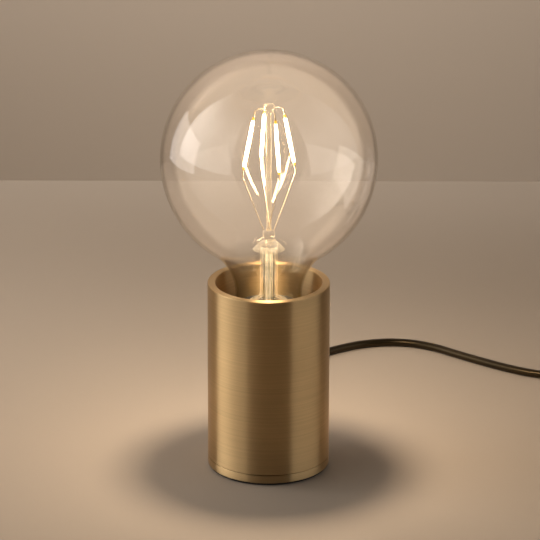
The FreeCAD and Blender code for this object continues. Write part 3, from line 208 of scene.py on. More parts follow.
def frames_along(path):
    """Two normals along a path of points: side = tangent x upright, and lift = side x tangent. Upright
    leans a little, and gives way to another direction where the path itself is nearly upright."""
    upright_lean = [0.013, 0.021, 1.0]
    other_lean = [0.0, 1.0, 0.1]
    tangent = np.gradient(path, axis=0)
    tangent /= np.linalg.norm(tangent, axis=1, keepdims=True)
    side = np.cross(tangent, upright_lean)
    weak = np.linalg.norm(side, axis=1) < 0.05
    side[weak] = np.cross(tangent[weak], other_lean)
    side /= np.linalg.norm(side, axis=1, keepdims=True)
    return side, np.cross(side, tangent)


def sweep(name, path, radius, steps):
    """Round bar along a path: point = path + radius (cos a side + sin a lift), closed by its end points."""
    path = np.asarray(path, float)
    radius = np.broadcast_to(np.asarray(radius, float), len(path))
    side, lift = frames_along(path)
    angle = circle(steps)
    ring = side[:, None] * np.cos(angle)[None, :, None] + lift[:, None] * np.sin(angle)[None, :, None]
    points = path[:, None] + ring * radius[:, None, None]
    ends = [np.repeat(path[index][None, None], steps, axis=1) for index in (0, -1)]
    return surface(name, np.concatenate([ends[0], points, ends[1]]))


def smooth_path(points, count):
    """Catmull-Rom curve through a few points, as an array: each span blends its four nearest points by
    the cubic 0.5(2b + (c-a)t + (2a-5b+4c-d)t^2 + (3b-a-3c+d)t^3)."""
    points = np.asarray(points, float)
    padded = np.concatenate([2 * points[:1] - points[1:2], points, 2 * points[-1:] - points[-2:-1]])
    a, b, c, d = (padded[shift:len(padded) - 3 + shift, None] for shift in range(4))
    t = np.linspace(0, 1, count, endpoint=False)[None, :, None]
    curve = 0.5 * (2 * b + (c - a) * t + (2 * a - 5 * b + 4 * c - d) * t ** 2
                   + (3 * b - a - 3 * c + d) * t ** 3)
    return np.concatenate([curve.reshape(-1, 3), points[-1:]])


def join(name, pieces):
    """Makes one mesh of several."""
    work = bmesh.new()
    for piece in pieces:
        work.from_mesh(piece.data)
        bpy.data.objects.remove(piece)
    return new_piece(name, bpy.data.meshes.new(name), work)


def turned_about_z(points, angle):
    """Points turned about the upright axis."""
    turn = np.array([[math.cos(angle), -math.sin(angle), 0], [math.sin(angle), math.cos(angle), 0],
                     [0, 0, 1]])
    return np.asarray(points, float) @ turn.T


def dress(piece, finish, body, replaces):
    """Gives a piece its finish, its body and the CAD nodes it stands for."""
    piece.data.materials.clear()
    piece.data.materials.append(finish)
    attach(piece, body)
    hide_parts(*replaces)


def dress_node(name, finish):
    """Gives a CAD node that stays its finish."""
    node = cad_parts[name]
    if not node.material_slots:
        node.data.materials.append(finish)
    for material_slot in node.material_slots:
        material_slot.material = finish


# ---------------------------------------------------------------- shader maths
class Value:
    """Wraps a shader socket, so that an expression on it adds its Math nodes."""

    def __init__(self, tree, socket):
        self.tree = tree
        self.socket = socket

    def maths(self, operation, *others):
        """Adds one Math node, with this value in its first socket."""
        node = self.tree.nodes.new("ShaderNodeMath")
        node.operation = operation
        for slot, value in zip(node.inputs, (self,) + others):
            link(self.tree, slot, value)
        return Value(self.tree, node.outputs[0])

    def __add__(self, other):
        return self.maths("ADD", other)

    def __sub__(self, other):
        return self.maths("SUBTRACT", other)

    def __rsub__(self, other):
        return Value(self.tree, other).maths("SUBTRACT", self)

    def __mul__(self, other):
        return self.maths("MULTIPLY", other)

    def __truediv__(self, other):
        return self.maths("DIVIDE", other)

    def __rtruediv__(self, other):
        return Value(self.tree, other).maths("DIVIDE", self)

    def __pow__(self, other):
        return self.maths("POWER", other)

    def __rpow__(self, other):
        return Value(self.tree, other).maths("POWER", self)

    __radd__ = __add__
    __rmul__ = __mul__

    def clamp(self):
        """Keeps the value between 0 and 1."""
        return self.maths("MAXIMUM", 0.0).maths("MINIMUM", 1.0)

    def band(self, low, high):
        """Rises from 0 at low to 1 at high."""
        return ((self - low) / (high - low)).clamp()


def link(tree, slot, value):
    """Puts a value, a colour or another node's output on a socket."""
    if isinstance(value, Value):
        value = value.socket
    if isinstance(value, bpy.types.NodeSocket):
        tree.links.new(slot, value)
    elif slot.type == "RGBA":
        slot.default_value = (*value, 1.0)
    else:
        slot.default_value = value


def shade(colour, factor):
    """A lighter or darker copy of a colour."""
    return tuple(min(channel * factor, 1.0) for channel in colour)


class Nodes:
    """Adds nodes to one tree."""

    def __init__(self, tree):
        self.tree = tree

    def add(self, kind, settings=None, **sockets):
        """Any other node: its settings first, then its sockets."""
        node = self.tree.nodes.new("ShaderNode" + kind)
        for name, value in (settings or {}).items():
            setattr(node, name, value)
        for name, value in sockets.items():
            link(self.tree, node.inputs[name.replace("_", " ")], value)
        return node

    def number(self, node, output=0):
        """One output of a node as a value."""
        return Value(self.tree, node.outputs[output])

    def split(self, vector):
        """The three numbers of a vector."""
        return [Value(self.tree, output) for output in self.add("SeparateXYZ", Vector=vector).outputs]

    def place(self):
        """Object coordinates as a vector socket and as three numbers in metres."""
        coordinates = self.add("TexCoord").outputs["Object"]
        return coordinates, self.split(coordinates)

    def vector(self, x, y, z):
        """A vector of three numbers."""
        return self.add("CombineXYZ", X=x, Y=y, Z=z).outputs[0]

    def noise(self, vector, scale, detail=3.0, rough=0.55):
        """Noise between 0 and 1."""
        return self.number(self.add("TexNoise", Vector=vector, Scale=scale, Detail=detail, Roughness=rough))

    def mix(self, share, first, second):
        """A colour between two colours."""
        node = self.add("Mix", {"data_type": "RGBA"})
        link(self.tree, node.inputs[0], share)
        link(self.tree, node.inputs[6], first)
        link(self.tree, node.inputs[7], second)
        return node.outputs[2]


class Finish(Nodes):
    """A material under construction: one Principled shader and the nodes that feed it."""

    def __init__(self, name, **constants):
        self.material = bpy.data.materials.new(name)
        self.material.use_nodes = True
        super().__init__(self.material.node_tree)
        self.shader = self.tree.nodes["Principled BSDF"]
        self.output = self.tree.nodes["Material Output"]
        self.set(**constants)

    def set(self, **sockets):
        """Sets or links the shader's sockets; a name's underscores are spaces."""
        for name, value in sockets.items():
            link(self.tree, self.shader.inputs[name.replace("_", " ")], value)

    def film(self, share, tint):
        """Lets light straight through, tinted, but for a share of the Principled shader."""
        clear = self.add("BsdfTransparent", Color=tint)
        mix = self.add("MixShader", Fac=share)
        self.tree.links.new(mix.inputs[1], clear.outputs[0])
        self.tree.links.new(mix.inputs[2], self.shader.outputs[0])
        self.tree.links.new(self.output.inputs[0], mix.outputs[0])
        return self.material

    def bump(self, height, distance, strength):
        """Raises the surface by height times distance."""
        node = self.add("Bump", Height=height, Distance=distance, Strength=strength)
        self.set(Normal=node.outputs[0])
        return self.material


def brushed_brass(settings):
    """Brass turned on a lathe: fine rings of grain follow height plus radius, so they lie round the tube's
    side and round its rim alike; broad soft cloudiness shifts the colour a little."""
    finish = Finish("brushed_brass", Metallic=1.0, Anisotropic=1.0, Anisotropic_Rotation=0.25)
    coordinates, (x, y, z) = finish.place()
    across = z + (x * x + y * y) ** 0.5
    fine_rings = finish.vector(x * 9.0, y * 9.0, across / settings.grain)
    wide_rings = finish.vector(x * 4.0, y * 4.0, across * 900.0)
    lines = finish.noise(fine_rings, scale=1.0, detail=4.0, rough=0.6)
    coarse = finish.noise(wide_rings, scale=1.0, detail=2.0)
    clouds = finish.noise(coordinates, scale=26.0, detail=2.0)
    tone = (lines * 0.3 + coarse * 0.4 + clouds * 0.3).band(0.36, 0.64)
    finish.set(Base_Color=finish.mix(tone, shade(settings.brass, 0.86), shade(settings.brass, 1.1)),
               Roughness=0.34 + lines * 0.07 + coarse * 0.04)
    return finish.bump(lines * 0.5 + coarse * 0.5, distance=0.02 * MM, strength=0.5)


def black_plastic(name="black_plastic", colour=(0.012, 0.011, 0.010), rough=0.38):
    """Moulded black plastic: fine spark-eroded grain and faint handling marks in its gloss."""
    finish = Finish(name, Specular_IOR_Level=0.5)
    coordinates, _ = finish.place()
    grain = finish.noise(coordinates, scale=5200.0, detail=2.0)
    smears = finish.noise(coordinates, scale=60.0)
    finish.set(Base_Color=finish.mix(smears.band(0.3, 0.75), colour, shade(colour, 1.7)),
               Roughness=rough - 0.07 + smears * 0.14)
    return finish.bump(grain, distance=0.015 * MM, strength=0.35)


def plain_metal(name, colour, rough, streaks=(1.0, 1.0, 14.0), metallic=1.0):
    """Drawn or pressed metal: streaks along one direction in colour and gloss."""
    finish = Finish(name, Metallic=metallic)
    _, (x, y, z) = finish.place()
    vector = finish.vector(x * streaks[0], y * streaks[1], z * streaks[2])
    lines = finish.noise(vector, scale=300.0)
    finish.set(Base_Color=finish.mix(lines, shade(colour, 0.8), colour),
               Roughness=rough - 0.06 + lines * 0.12)
    return finish.bump(lines, distance=0.01 * MM, strength=0.3)


def clear_globe(settings):
    """Thin blown glass: see-through with a slight warm tint, and a mirror film whose strength rises towards
    grazing view as 0.06 + 0.88 facing^5. An even share of it is a faintly clouded haze that the filaments
    light. It thins out towards the outline, and ends at the neck. Below the neck the film is tinted olive, a
    painted reflection of the brass tube, and along the outline its colour is darkened to a painted shade."""
    finish = Finish("globe_glass", Roughness=0.02)
    facing = finish.number(finish.add("LayerWeight", Blend=0.5), 1)
    film = (facing ** 5.0) * 0.88 + 0.06
    coordinates, (_, _, z) = finish.place()
    clouds = finish.noise(coordinates, scale=24.0) * 0.5 + 0.75
    above_neck = z.band(112 * MM, 130 * MM)
    haze = (1.0 - facing.band(0.46, 0.54) * 0.65) * above_neck * clouds * settings.haze
    # Below the neck the mirror film is tinted olive: a painted reflection of the brass tube round the neck.
    glass = finish.mix(above_neck, (0.60, 0.47, 0.24), (0.95, 0.92, 0.92))
    # Towards the outline the film's colour is darkened: a painted shade along the globe's edge.
    finish.set(Metallic=1.0 - haze / film,
               Base_Color=finish.mix(facing.band(0.72, 0.95), glass, (0.44, 0.40, 0.32)))
    return finish.film(film, settings.tint)


def drawn_glass(name, haze, painted_glow):
    """Drawn glass rod or tube with a painted glow that stands for the filaments' light it carries: clear in
    the middle, with draw lines along it that the painted glow makes bright, and bright along its edges,
    where the film is 0.03 + 0.85 facing^3."""
    finish = Finish(name, Roughness=0.12, Base_Color=(1.0, 0.95, 0.84), Emission_Strength=painted_glow)
    _, (x, y, z) = finish.place()
    draw_lines = finish.vector(x * 420.0, y * 420.0, z * 45.0)
    lines = finish.noise(draw_lines, scale=1.0, detail=2.0).band(0.45, 0.68)
    finish.bump(lines, distance=0.05 * MM, strength=0.35)
    facing = finish.number(finish.add("LayerWeight", Blend=0.5), 1)
    scatter = lines * haze + 0.004
    film = (facing ** 3.0) * 0.85 + scatter + 0.03
    # Emission paints a glow for the filaments' light carried in the glass, brighter along the draw lines.
    finish.set(Metallic=1.0 - scatter / film,
               Emission_Color=finish.mix(lines, (0.40, 0.30, 0.16), (1.0, 0.86, 0.62)))
    return finish.film(film, (0.985, 0.965, 0.93))


def filament_glow(settings, low, high):
    """Phosphor coating of a lit filament: bright from end to end, but for its dark yellow tips."""
    finish = Finish("filament_glow", Roughness=0.6, Base_Color=(1.0, 0.72, 0.2),
                    Emission_Strength=settings.glow)
    _, (_, _, z) = finish.place()
    end = 2.6 * MM
    lit = (z - low).band(end * 0.6, end) * (high - z).band(end * 0.6, end)
    finish.set(Emission_Color=finish.mix(lit, (0.034, 0.017, 0.0), (1.0, 0.80, 0.52)))
    return finish.material


def cord_sheath():
    """Round black sheath: soft sheen tinted gold, a painted warm highlight, brownish where it is rubbed,
    faint ripple along it.
    """
    # The gold Specular Tint paints a warm highlight into the sheen.
    finish = Finish("cord_sheath", Specular_Tint=(1.0, 0.72, 0.40))
    coordinates, _ = finish.place()
    ripple = finish.noise(coordinates, scale=520.0, detail=2.0)
    rubbed = finish.noise(coordinates, scale=45.0)
    finish.set(Base_Color=finish.mix(rubbed.band(0.35, 0.7), (0.004, 0.003, 0.002), (0.012, 0.008, 0.003)),
               Roughness=0.24 + ripple * 0.14)
    return finish.bump(ripple, distance=0.06 * MM, strength=0.35)


def felt_pad():
    """Dark felt under the foot: fibre clumps in colour and height."""
    finish = Finish("felt_pad", Roughness=0.95, Sheen_Weight=0.3)
    coordinates, _ = finish.place()
    fibre = finish.noise(coordinates, scale=2600.0, detail=5.0, rough=0.7)
    finish.set(Base_Color=finish.mix(fibre, (0.008, 0.007, 0.006), (0.03, 0.026, 0.022)))
    return finish.bump(fibre, distance=0.12 * MM, strength=0.8)


def speckled(name, rough, scale, dark, light, detail=3.0):
    """Even surface with fine specks in its colour and height."""
    finish = Finish(name, Roughness=rough)
    coordinates, _ = finish.place()
    specks = finish.noise(coordinates, scale, detail)
    finish.set(Base_Color=finish.mix(specks, dark, light))
    return finish.bump(specks, distance=0.02 * MM, strength=0.3)


# ---------------------------------------------------------------- stage
# Places of the camera, the floor, the wall and the light of the filaments, in metres.
CAMERA_PLACE = (0.0007, -2.135, 0.896)
FLOOR_REACH = 3.0
WALL_REACH = 1.6
WALL_BACK = 0.518
WALL_HEIGHT = 2.4
GLOW_PLACE = (0, 0.008, 0.194)

# Soft lights: metres, watts and degrees.
SOFT_LIGHTS = (
    dict(name="left_panel", mirrored=True, place=(-0.8, 0.29, 0.24), target=(0, 0, 0.19),
         size=(0.9, 0.44), power=1.9, colour=(1.0, 0.97, 0.94), spread=180),
    dict(name="table_box", mirrored=False, place=(-0.5, 0.3, 0.95), target=(-0.3, 0.32, 0),
         size=(0.5, 0.3), power=0.55, colour=(1.0, 0.93, 0.85), spread=58),
    dict(name="backdrop_box", mirrored=False, place=(-0.45, -0.05, 1.05), target=(-0.3, 0.6, 0.5),
         size=(1.2, 0.15), power=4.2, colour=(1.0, 0.95, 0.89), spread=50),
)


def add_light(name, kind, place, power, colour, mirrored):
    """A light that either shows in mirroring pieces or lights them evenly, unseen by the camera."""
    data = bpy.data.lights.new(name, kind)
    data.energy = power
    data.color = colour
    lamp = bpy.data.objects.new(name, data)
    lamp.location = place
    lamp.visible_glossy = mirrored
    lamp.visible_diffuse = not mirrored
    lamp.visible_camera = False
    bpy.context.scene.collection.objects.link(lamp)
    return lamp


class LAMP_OT_stage(bpy.types.Operator):
    """Floor, wall, lights and the camera."""
    bl_idname = "lamp.stage"
    bl_label = "Stage"
    bl_options = {"REGISTER", "UNDO"}

    def execute(self, context):
        scene = context.scene
        self.camera(scene)
        self.planes(scene.lamp_stage)
        self.studio(scene)
        for light in SOFT_LIGHTS:
            self.soft_light(**light)
        scene.view_settings.view_transform = "Standard"
        return {"FINISHED"}

    def camera(self, scene):
        """Looks along +Y and down, level with the lamp's middle."""
        settings = scene.lamp_stage
        lens = bpy.data.cameras.new("camera")
        lens.sensor_width = 36
        lens.lens = settings.lens / MM
        lens.clip_end = 20
        camera = bpy.data.objects.new("camera", lens)
        camera.location = CAMERA_PLACE
        camera.rotation_euler = (Euler((math.pi / 2 - settings.tilt, 0, 0)).to_matrix()
                                 @ Matrix.Rotation(settings.roll, 3, "Z")).to_euler()
        scene.collection.objects.link(camera)
        scene.camera = camera

    def planes(self, settings):
        """Level floor and an upright wall behind the lamp: point = corner + u across + v along. The wall is
        see-through from its back, so that the lamp can be looked at from behind."""
        u, v = np.meshgrid([0.0, 1.0], [0.0, 1.0])
        for name, colour, corner, across, along in (
                ("floor", settings.floor, (-FLOOR_REACH, -FLOOR_REACH, 0),
                 (2 * FLOOR_REACH, 0, 0), (0, 2 * FLOOR_REACH, 0)),
                ("backdrop", settings.wall, (-WALL_REACH, WALL_BACK, 0),
                 (2 * WALL_REACH, 0, 0), (0, 0, WALL_HEIGHT))):
            points = np.array(corner) + u[..., None] * across + v[..., None] * along
            plane = surface(name, points, round_u=False)
            finish = Finish(name + "_paint", Roughness=0.72, Specular_IOR_Level=0.25)
            coordinates, _ = finish.place()
            cloud = finish.noise(coordinates, scale=3.5)
            finish.set(Base_Color=finish.mix(cloud, shade(colour, 0.97), colour))
            if name == "backdrop":
                behind = finish.number(finish.add("NewGeometry"), "Backfacing")
                finish.film(1.0 - behind, (1.0, 1.0, 1.0))
            plane.data.materials.append(finish.material)

    def studio(self, scene):
        """A studio as a world whose brightness goes by direction, in degrees: turn is 0 towards the camera
        and below 0 to its left, and rise is 0 at the lamp's level. The left and the right are bright from a
        sharp edge on, a box stands at the far left, and all fades out overhead."""
        world = bpy.data.worlds.new("studio")
        world.use_nodes = True
        studio = Nodes(world.node_tree)
        x, y, z = studio.split(studio.add("TexCoord").outputs["Generated"])
        turn = x.maths("ARCTAN2", y * -1.0) * DEGREES
        rise = z.maths("ARCSINE") * DEGREES
        low = rise.band(62.0, 30.0)
        near_left = turn.band(-39.0, -43.0) * 0.75 + turn.band(-14.0, -40.0) * 0.3
        far_left = turn.band(-44.0, -98.0) ** 1.3
        box = turn.band(-62.0, -96.0) * rise.band(-4.0, 6.0) * rise.band(58.0, 40.0)
        right = turn.band(43.0, 45.0) * turn.band(150.0, 95.0)
        strength = low * (near_left + far_left + box * 1.2 + right * 0.85) + 0.005
        background = world.node_tree.nodes["Background"]
        link(world.node_tree, background.inputs[0], (1.0, 0.94, 0.87))
        link(world.node_tree, background.inputs[1], strength)
        scene.world = world

    def soft_light(self, name, mirrored, place, target, size, power, colour, spread):
        """Rectangular light that faces its target."""
        lamp = add_light(name, "AREA", place, power, colour, mirrored)
        lamp.rotation_euler = (Vector(place) - Vector(target)).to_track_quat("Z", "Y").to_euler()
        lamp.data.shape = "RECTANGLE"
        lamp.data.size, lamp.data.size_y = size
        lamp.data.spread = math.radians(spread)


# ---------------------------------------------------------------- cord
# Route of the cord, in metres: the same points as the part's, from the lamp to the switch, from the switch
# to the coil and from the coil to the plug.
RUN_POINTS = [(0, .0576, .0126), (0, .074, .0126), (.0008, .092, .009), (.0024, .110, .0042),
              (.0058, .127, .0025), (.014, .147, .0025), (.027, .1655, .0025), (.044, .180, .0025),
              (.063, .190, .0025), (.084, .1922, .0025), (.103, .1846, .0025), (.1215, .168, .0025),
              (.146, .1484, .0025), (.166, .1364, .0025), (.182, .1314, .0034), (.1945, .129, .0075),
              (.206, .129, .0075)]
LINK_POINTS = [(.262, .129, .0075), (.274, .129, .0075), (.2885, .125, .0034), (.299, .1145, .0025),
               (.3034, .100, .0025), (.304, .085, .0025), (.304, .070, .0025)]
TAIL_POINTS = [(.304, .060, .008), (.304, .047, .008), (.3036, .031, .0034), (.3032, .015, .0025),
               (.3034, .001, .0036), (.304, -.012, .00685), (.304, -.024, .00685)]

# Coil: radius of its outer turn, step between its turns and between its layers, how far its middle lies on
# from the link's last point, and points in a turn.
COIL_RADIUS = .0398
COIL_PITCH = .0056
COIL_LAYER = .0055
COIL_END = .005
COIL_STEPS = 16

# CAD nodes that the cord stands for.
CORD_NODES = ("cord_run", "cord_link", "cord_coil", "cord_tail")


class LAMP_OT_cord(bpy.types.Operator):
    """The mains cord as one smooth line through its switch and its put-away coil."""
    bl_idname = "lamp.cord"
    bl_label = "Cord"
    bl_options = {"REGISTER", "UNDO"}

    def coil(self, turns):
        """Winds clockwise: radius falls by a pitch a turn to the middle of the coil and grows again, and
        the height steps up a layer in the half turn about that middle."""
        steps = np.arange(turns * COIL_STEPS + 1) / COIL_STEPS
        inward = turns / 2 - np.abs(steps - turns / 2)
        radius = (COIL_RADIUS - COIL_PITCH * inward) / math.cos(math.pi / COIL_STEPS)
        radius[[0, -1]] = COIL_RADIUS
        climb = np.clip((steps - turns / 2 + 0.25) * 2, 0, 1)
        angle = -steps * TURN
        start = LINK_POINTS[-1]
        middle = (start[0] - COIL_RADIUS, start[1] - COIL_END)
        return np.stack([middle[0] + radius * np.cos(angle), middle[1] + radius * np.sin(angle),
                         start[2] + COIL_LAYER * climb], axis=1)

    def execute(self, context):
        scene = context.scene
        settings = scene.lamp_cord
        points = np.concatenate([RUN_POINTS, LINK_POINTS, self.coil(settings.coil_turns), TAIL_POINTS])
        data = bpy.data.curves.new("mains_cord", "CURVE")
        data.dimensions = "3D"
        data.bevel_depth = settings.diameter / 2
        data.bevel_resolution = 6
        data.resolution_u = 6
        data.use_fill_caps = True
        spline = data.splines.new("NURBS")
        spline.points.add(len(points) - 1)
        spline.points.foreach_set("co", np.column_stack([points, np.ones(len(points))]).ravel())
        spline.order_u = 3
        spline.use_endpoint_u = True
        cord = bpy.data.objects.new("mains_cord", data)
        scene.collection.objects.link(cord)
        dress(cord, cord_sheath(), "base", CORD_NODES)
        return {"FINISHED"}


# ---------------------------------------------------------------- brass body
class LAMP_OT_brass_body(bpy.types.Operator):
    """Brushed brass tube with its lugs, the foot plate and the felt pad."""
    bl_idname = "lamp.brass_body"
    bl_label = "Brass Body"
    bl_options = {"REGISTER", "UNDO"}

    def execute(self, context):
        settings = context.scene.lamp_body
        brass = brushed_brass(settings)
        self.tube(settings, brass)
        self.foot(settings, brass)
        self.pad()
        return {"FINISHED"}

    def lug(self, settings, turn):
        """Lug on the tube's inside with a hole for its screw. Its outline is the circle (cos a, sin a) on
        the side of the axis, and the rounded square (cos^0.35 a, sin^0.35 a) where it meets the wall."""
        hole_radius, height, into_wall = 2.05 * MM, 10 * MM, 0.3 * MM
        power = 0.35
        count = 48
        reach = TUBE_HIGH.x - settings.wall + into_wall - settings.lug_pitch
        half_width = settings.lug_half_width
        along, across = np.cos(circle(count)), np.sin(circle(count))
        at_wall = along > 0
        outer = np.column_stack([
            np.where(at_wall, reach * squared(along, power), half_width * along),
            half_width * np.where(at_wall, squared(across, power), across)])
        hole = np.column_stack([along, across]) * hole_radius
        low, high = BAND_HIGH.z, BAND_HIGH.z + height
        rings = [np.column_stack([ring, np.full(count, level)])
                 for ring, level in ((hole, low), (outer, low), (outer, high), (hole, high))]
        points = np.stack(rings) + [settings.lug_pitch, 0, 0]
        return surface("lug", turned_about_z(points, math.radians(turn)), round_v=True)

    def tube(self, settings, brass):
        """Open tube with rounded rims. Points down its sides keep its long faces evenly shaded."""
        outside = TUBE_HIGH.x
        bore = outside - settings.wall
        low, high = TUBE_LOW.z, TUBE_HIGH.z
        edge = settings.rim_round
        outline = np.concatenate([
            [(bore, low), (outside - edge / 2, low)],
            arc((outside - edge / 2, low + edge / 2), edge / 2, -80, 0),
            upright(outside, low + edge, high - edge * 1.5, 24),
            arc((outside - edge, high - edge), edge, 0, 90),
            arc((bore + edge, high - edge), edge, 90, 180),
            upright(bore, high - edge * 1.5, low + edge, 12)])
        tube = lathe("brass_tube", outline, steps=256)
        lugs = [self.lug(settings, turn) for turn in (-90, 30, 150)]
        dress(join("brass_tube", [tube, *lugs]), brass, "base", ["body_tube"])

    def foot(self, settings, brass):
        """Foot plate: a band with rounded edges under the seam, and a spigot up into the tube."""
        spigot_gap, edge = 0.15 * MM, 0.45 * MM
        band = BAND_HIGH.x
        spigot = TUBE_HIGH.x - settings.wall - spigot_gap
        low, high, top = BAND_LOW.z, TUBE_LOW.z - settings.seam, BAND_HIGH.z
        outline = np.concatenate([
            [(0, low)], arc((band - edge, low + edge), edge, -90, 0),
            arc((band - edge, high - edge), edge, 0, 90), [(spigot, high), (spigot, top), (0, top)]])
        foot = lathe("brass_foot", outline, steps=256, closed=False)
        dress(foot, brass, "base", ["base_plate"])

    def pad(self):
        """Felt disc with a rounded lower edge."""
        edge = 0.3 * MM
        low, high, radius = PAD_LOW.z, PAD_HIGH.z, PAD_HIGH.x
        outline = np.concatenate([
            [(0, low)], arc((radius - edge, low + edge), edge, -90, 0), [(radius, high), (0, high)]])
        pad = lathe("felt_pad", outline, steps=128, closed=False)
        dress(pad, felt_pad(), "base", ["foot_pad"])


# ---------------------------------------------------------------- lampholder
class LAMP_OT_lampholder(bpy.types.Operator):
    """Black sleeve and domed cap of the lampholder."""
    bl_idname = "lamp.lampholder"
    bl_label = "Lampholder"
    bl_options = {"REGISTER", "UNDO"}

    def execute(self, context):
        black = black_plastic()
        edge = 0.8 * MM
        self.sleeve(black, edge)
        self.dome(black, edge)
        return {"FINISHED"}

    def sleeve(self, black, edge):
        """Sleeve with a wide seat at its lower end, and a bore that flares to its mouth."""
        bore, mouth, seat = 17.0 * MM, 18.2 * MM, 18.6 * MM
        seat_depth, flare_depth = 9 * MM, 5 * MM
        radius, low, high = HOLDER_HIGH.x, HOLDER_LOW.z, HOLDER_HIGH.z
        outline = np.concatenate([
            [(seat, low), (radius - edge / 2, low), (radius, low + edge / 2)],
            arc((radius - edge, high - edge), edge, 0, 90),
            [(mouth, high), (bore, high - flare_depth), (bore, low + seat_depth), (seat, low + seat_depth)]])
        dress(lathe("holder_sleeve", outline, steps=160), black, "base", ["holder_body"])

    def dome(self, black, edge):
        """Cap with a nose for the nipple, a quarter-round dome and a skirt inside the sleeve."""
        split_gap = 0.2 * MM
        nose_bore, nose, nose_height = 5.05 * MM, 9 * MM, 3 * MM
        outer_round, inner_round = 11 * MM, 7.8 * MM
        skirt, skirt_bore = 18.3 * MM, 16.8 * MM
        low, high = DOME_LOW.z, DOME_HIGH.z
        split = HOLDER_LOW.z - split_gap
        middle = low + nose_height + outer_round
        radius = HOLDER_HIGH.x
        outline = np.concatenate([
            [(nose_bore, low), (nose, low), (nose, low + nose_height)],
            arc((nose, middle), outer_round, -90, 0),
            [(radius, split - edge / 2), (radius - edge / 2, split), (skirt, split), (skirt, high),
             (skirt_bore, high), (skirt_bore, middle)],
            arc((nose, middle), inner_round, 0, -90), [(nose_bore, middle - inner_round)]])
        dress(lathe("holder_dome", outline, steps=160), black, "base", ["holder_cap"])


# ---------------------------------------------------------------- bulb
# Sizes and heights that several pieces of the bulb share.
GLOBE_RADIUS = 62.5 * MM
COLLAR_RADIUS = 12.3 * MM
PINCH_TOP = 145.2 * MM


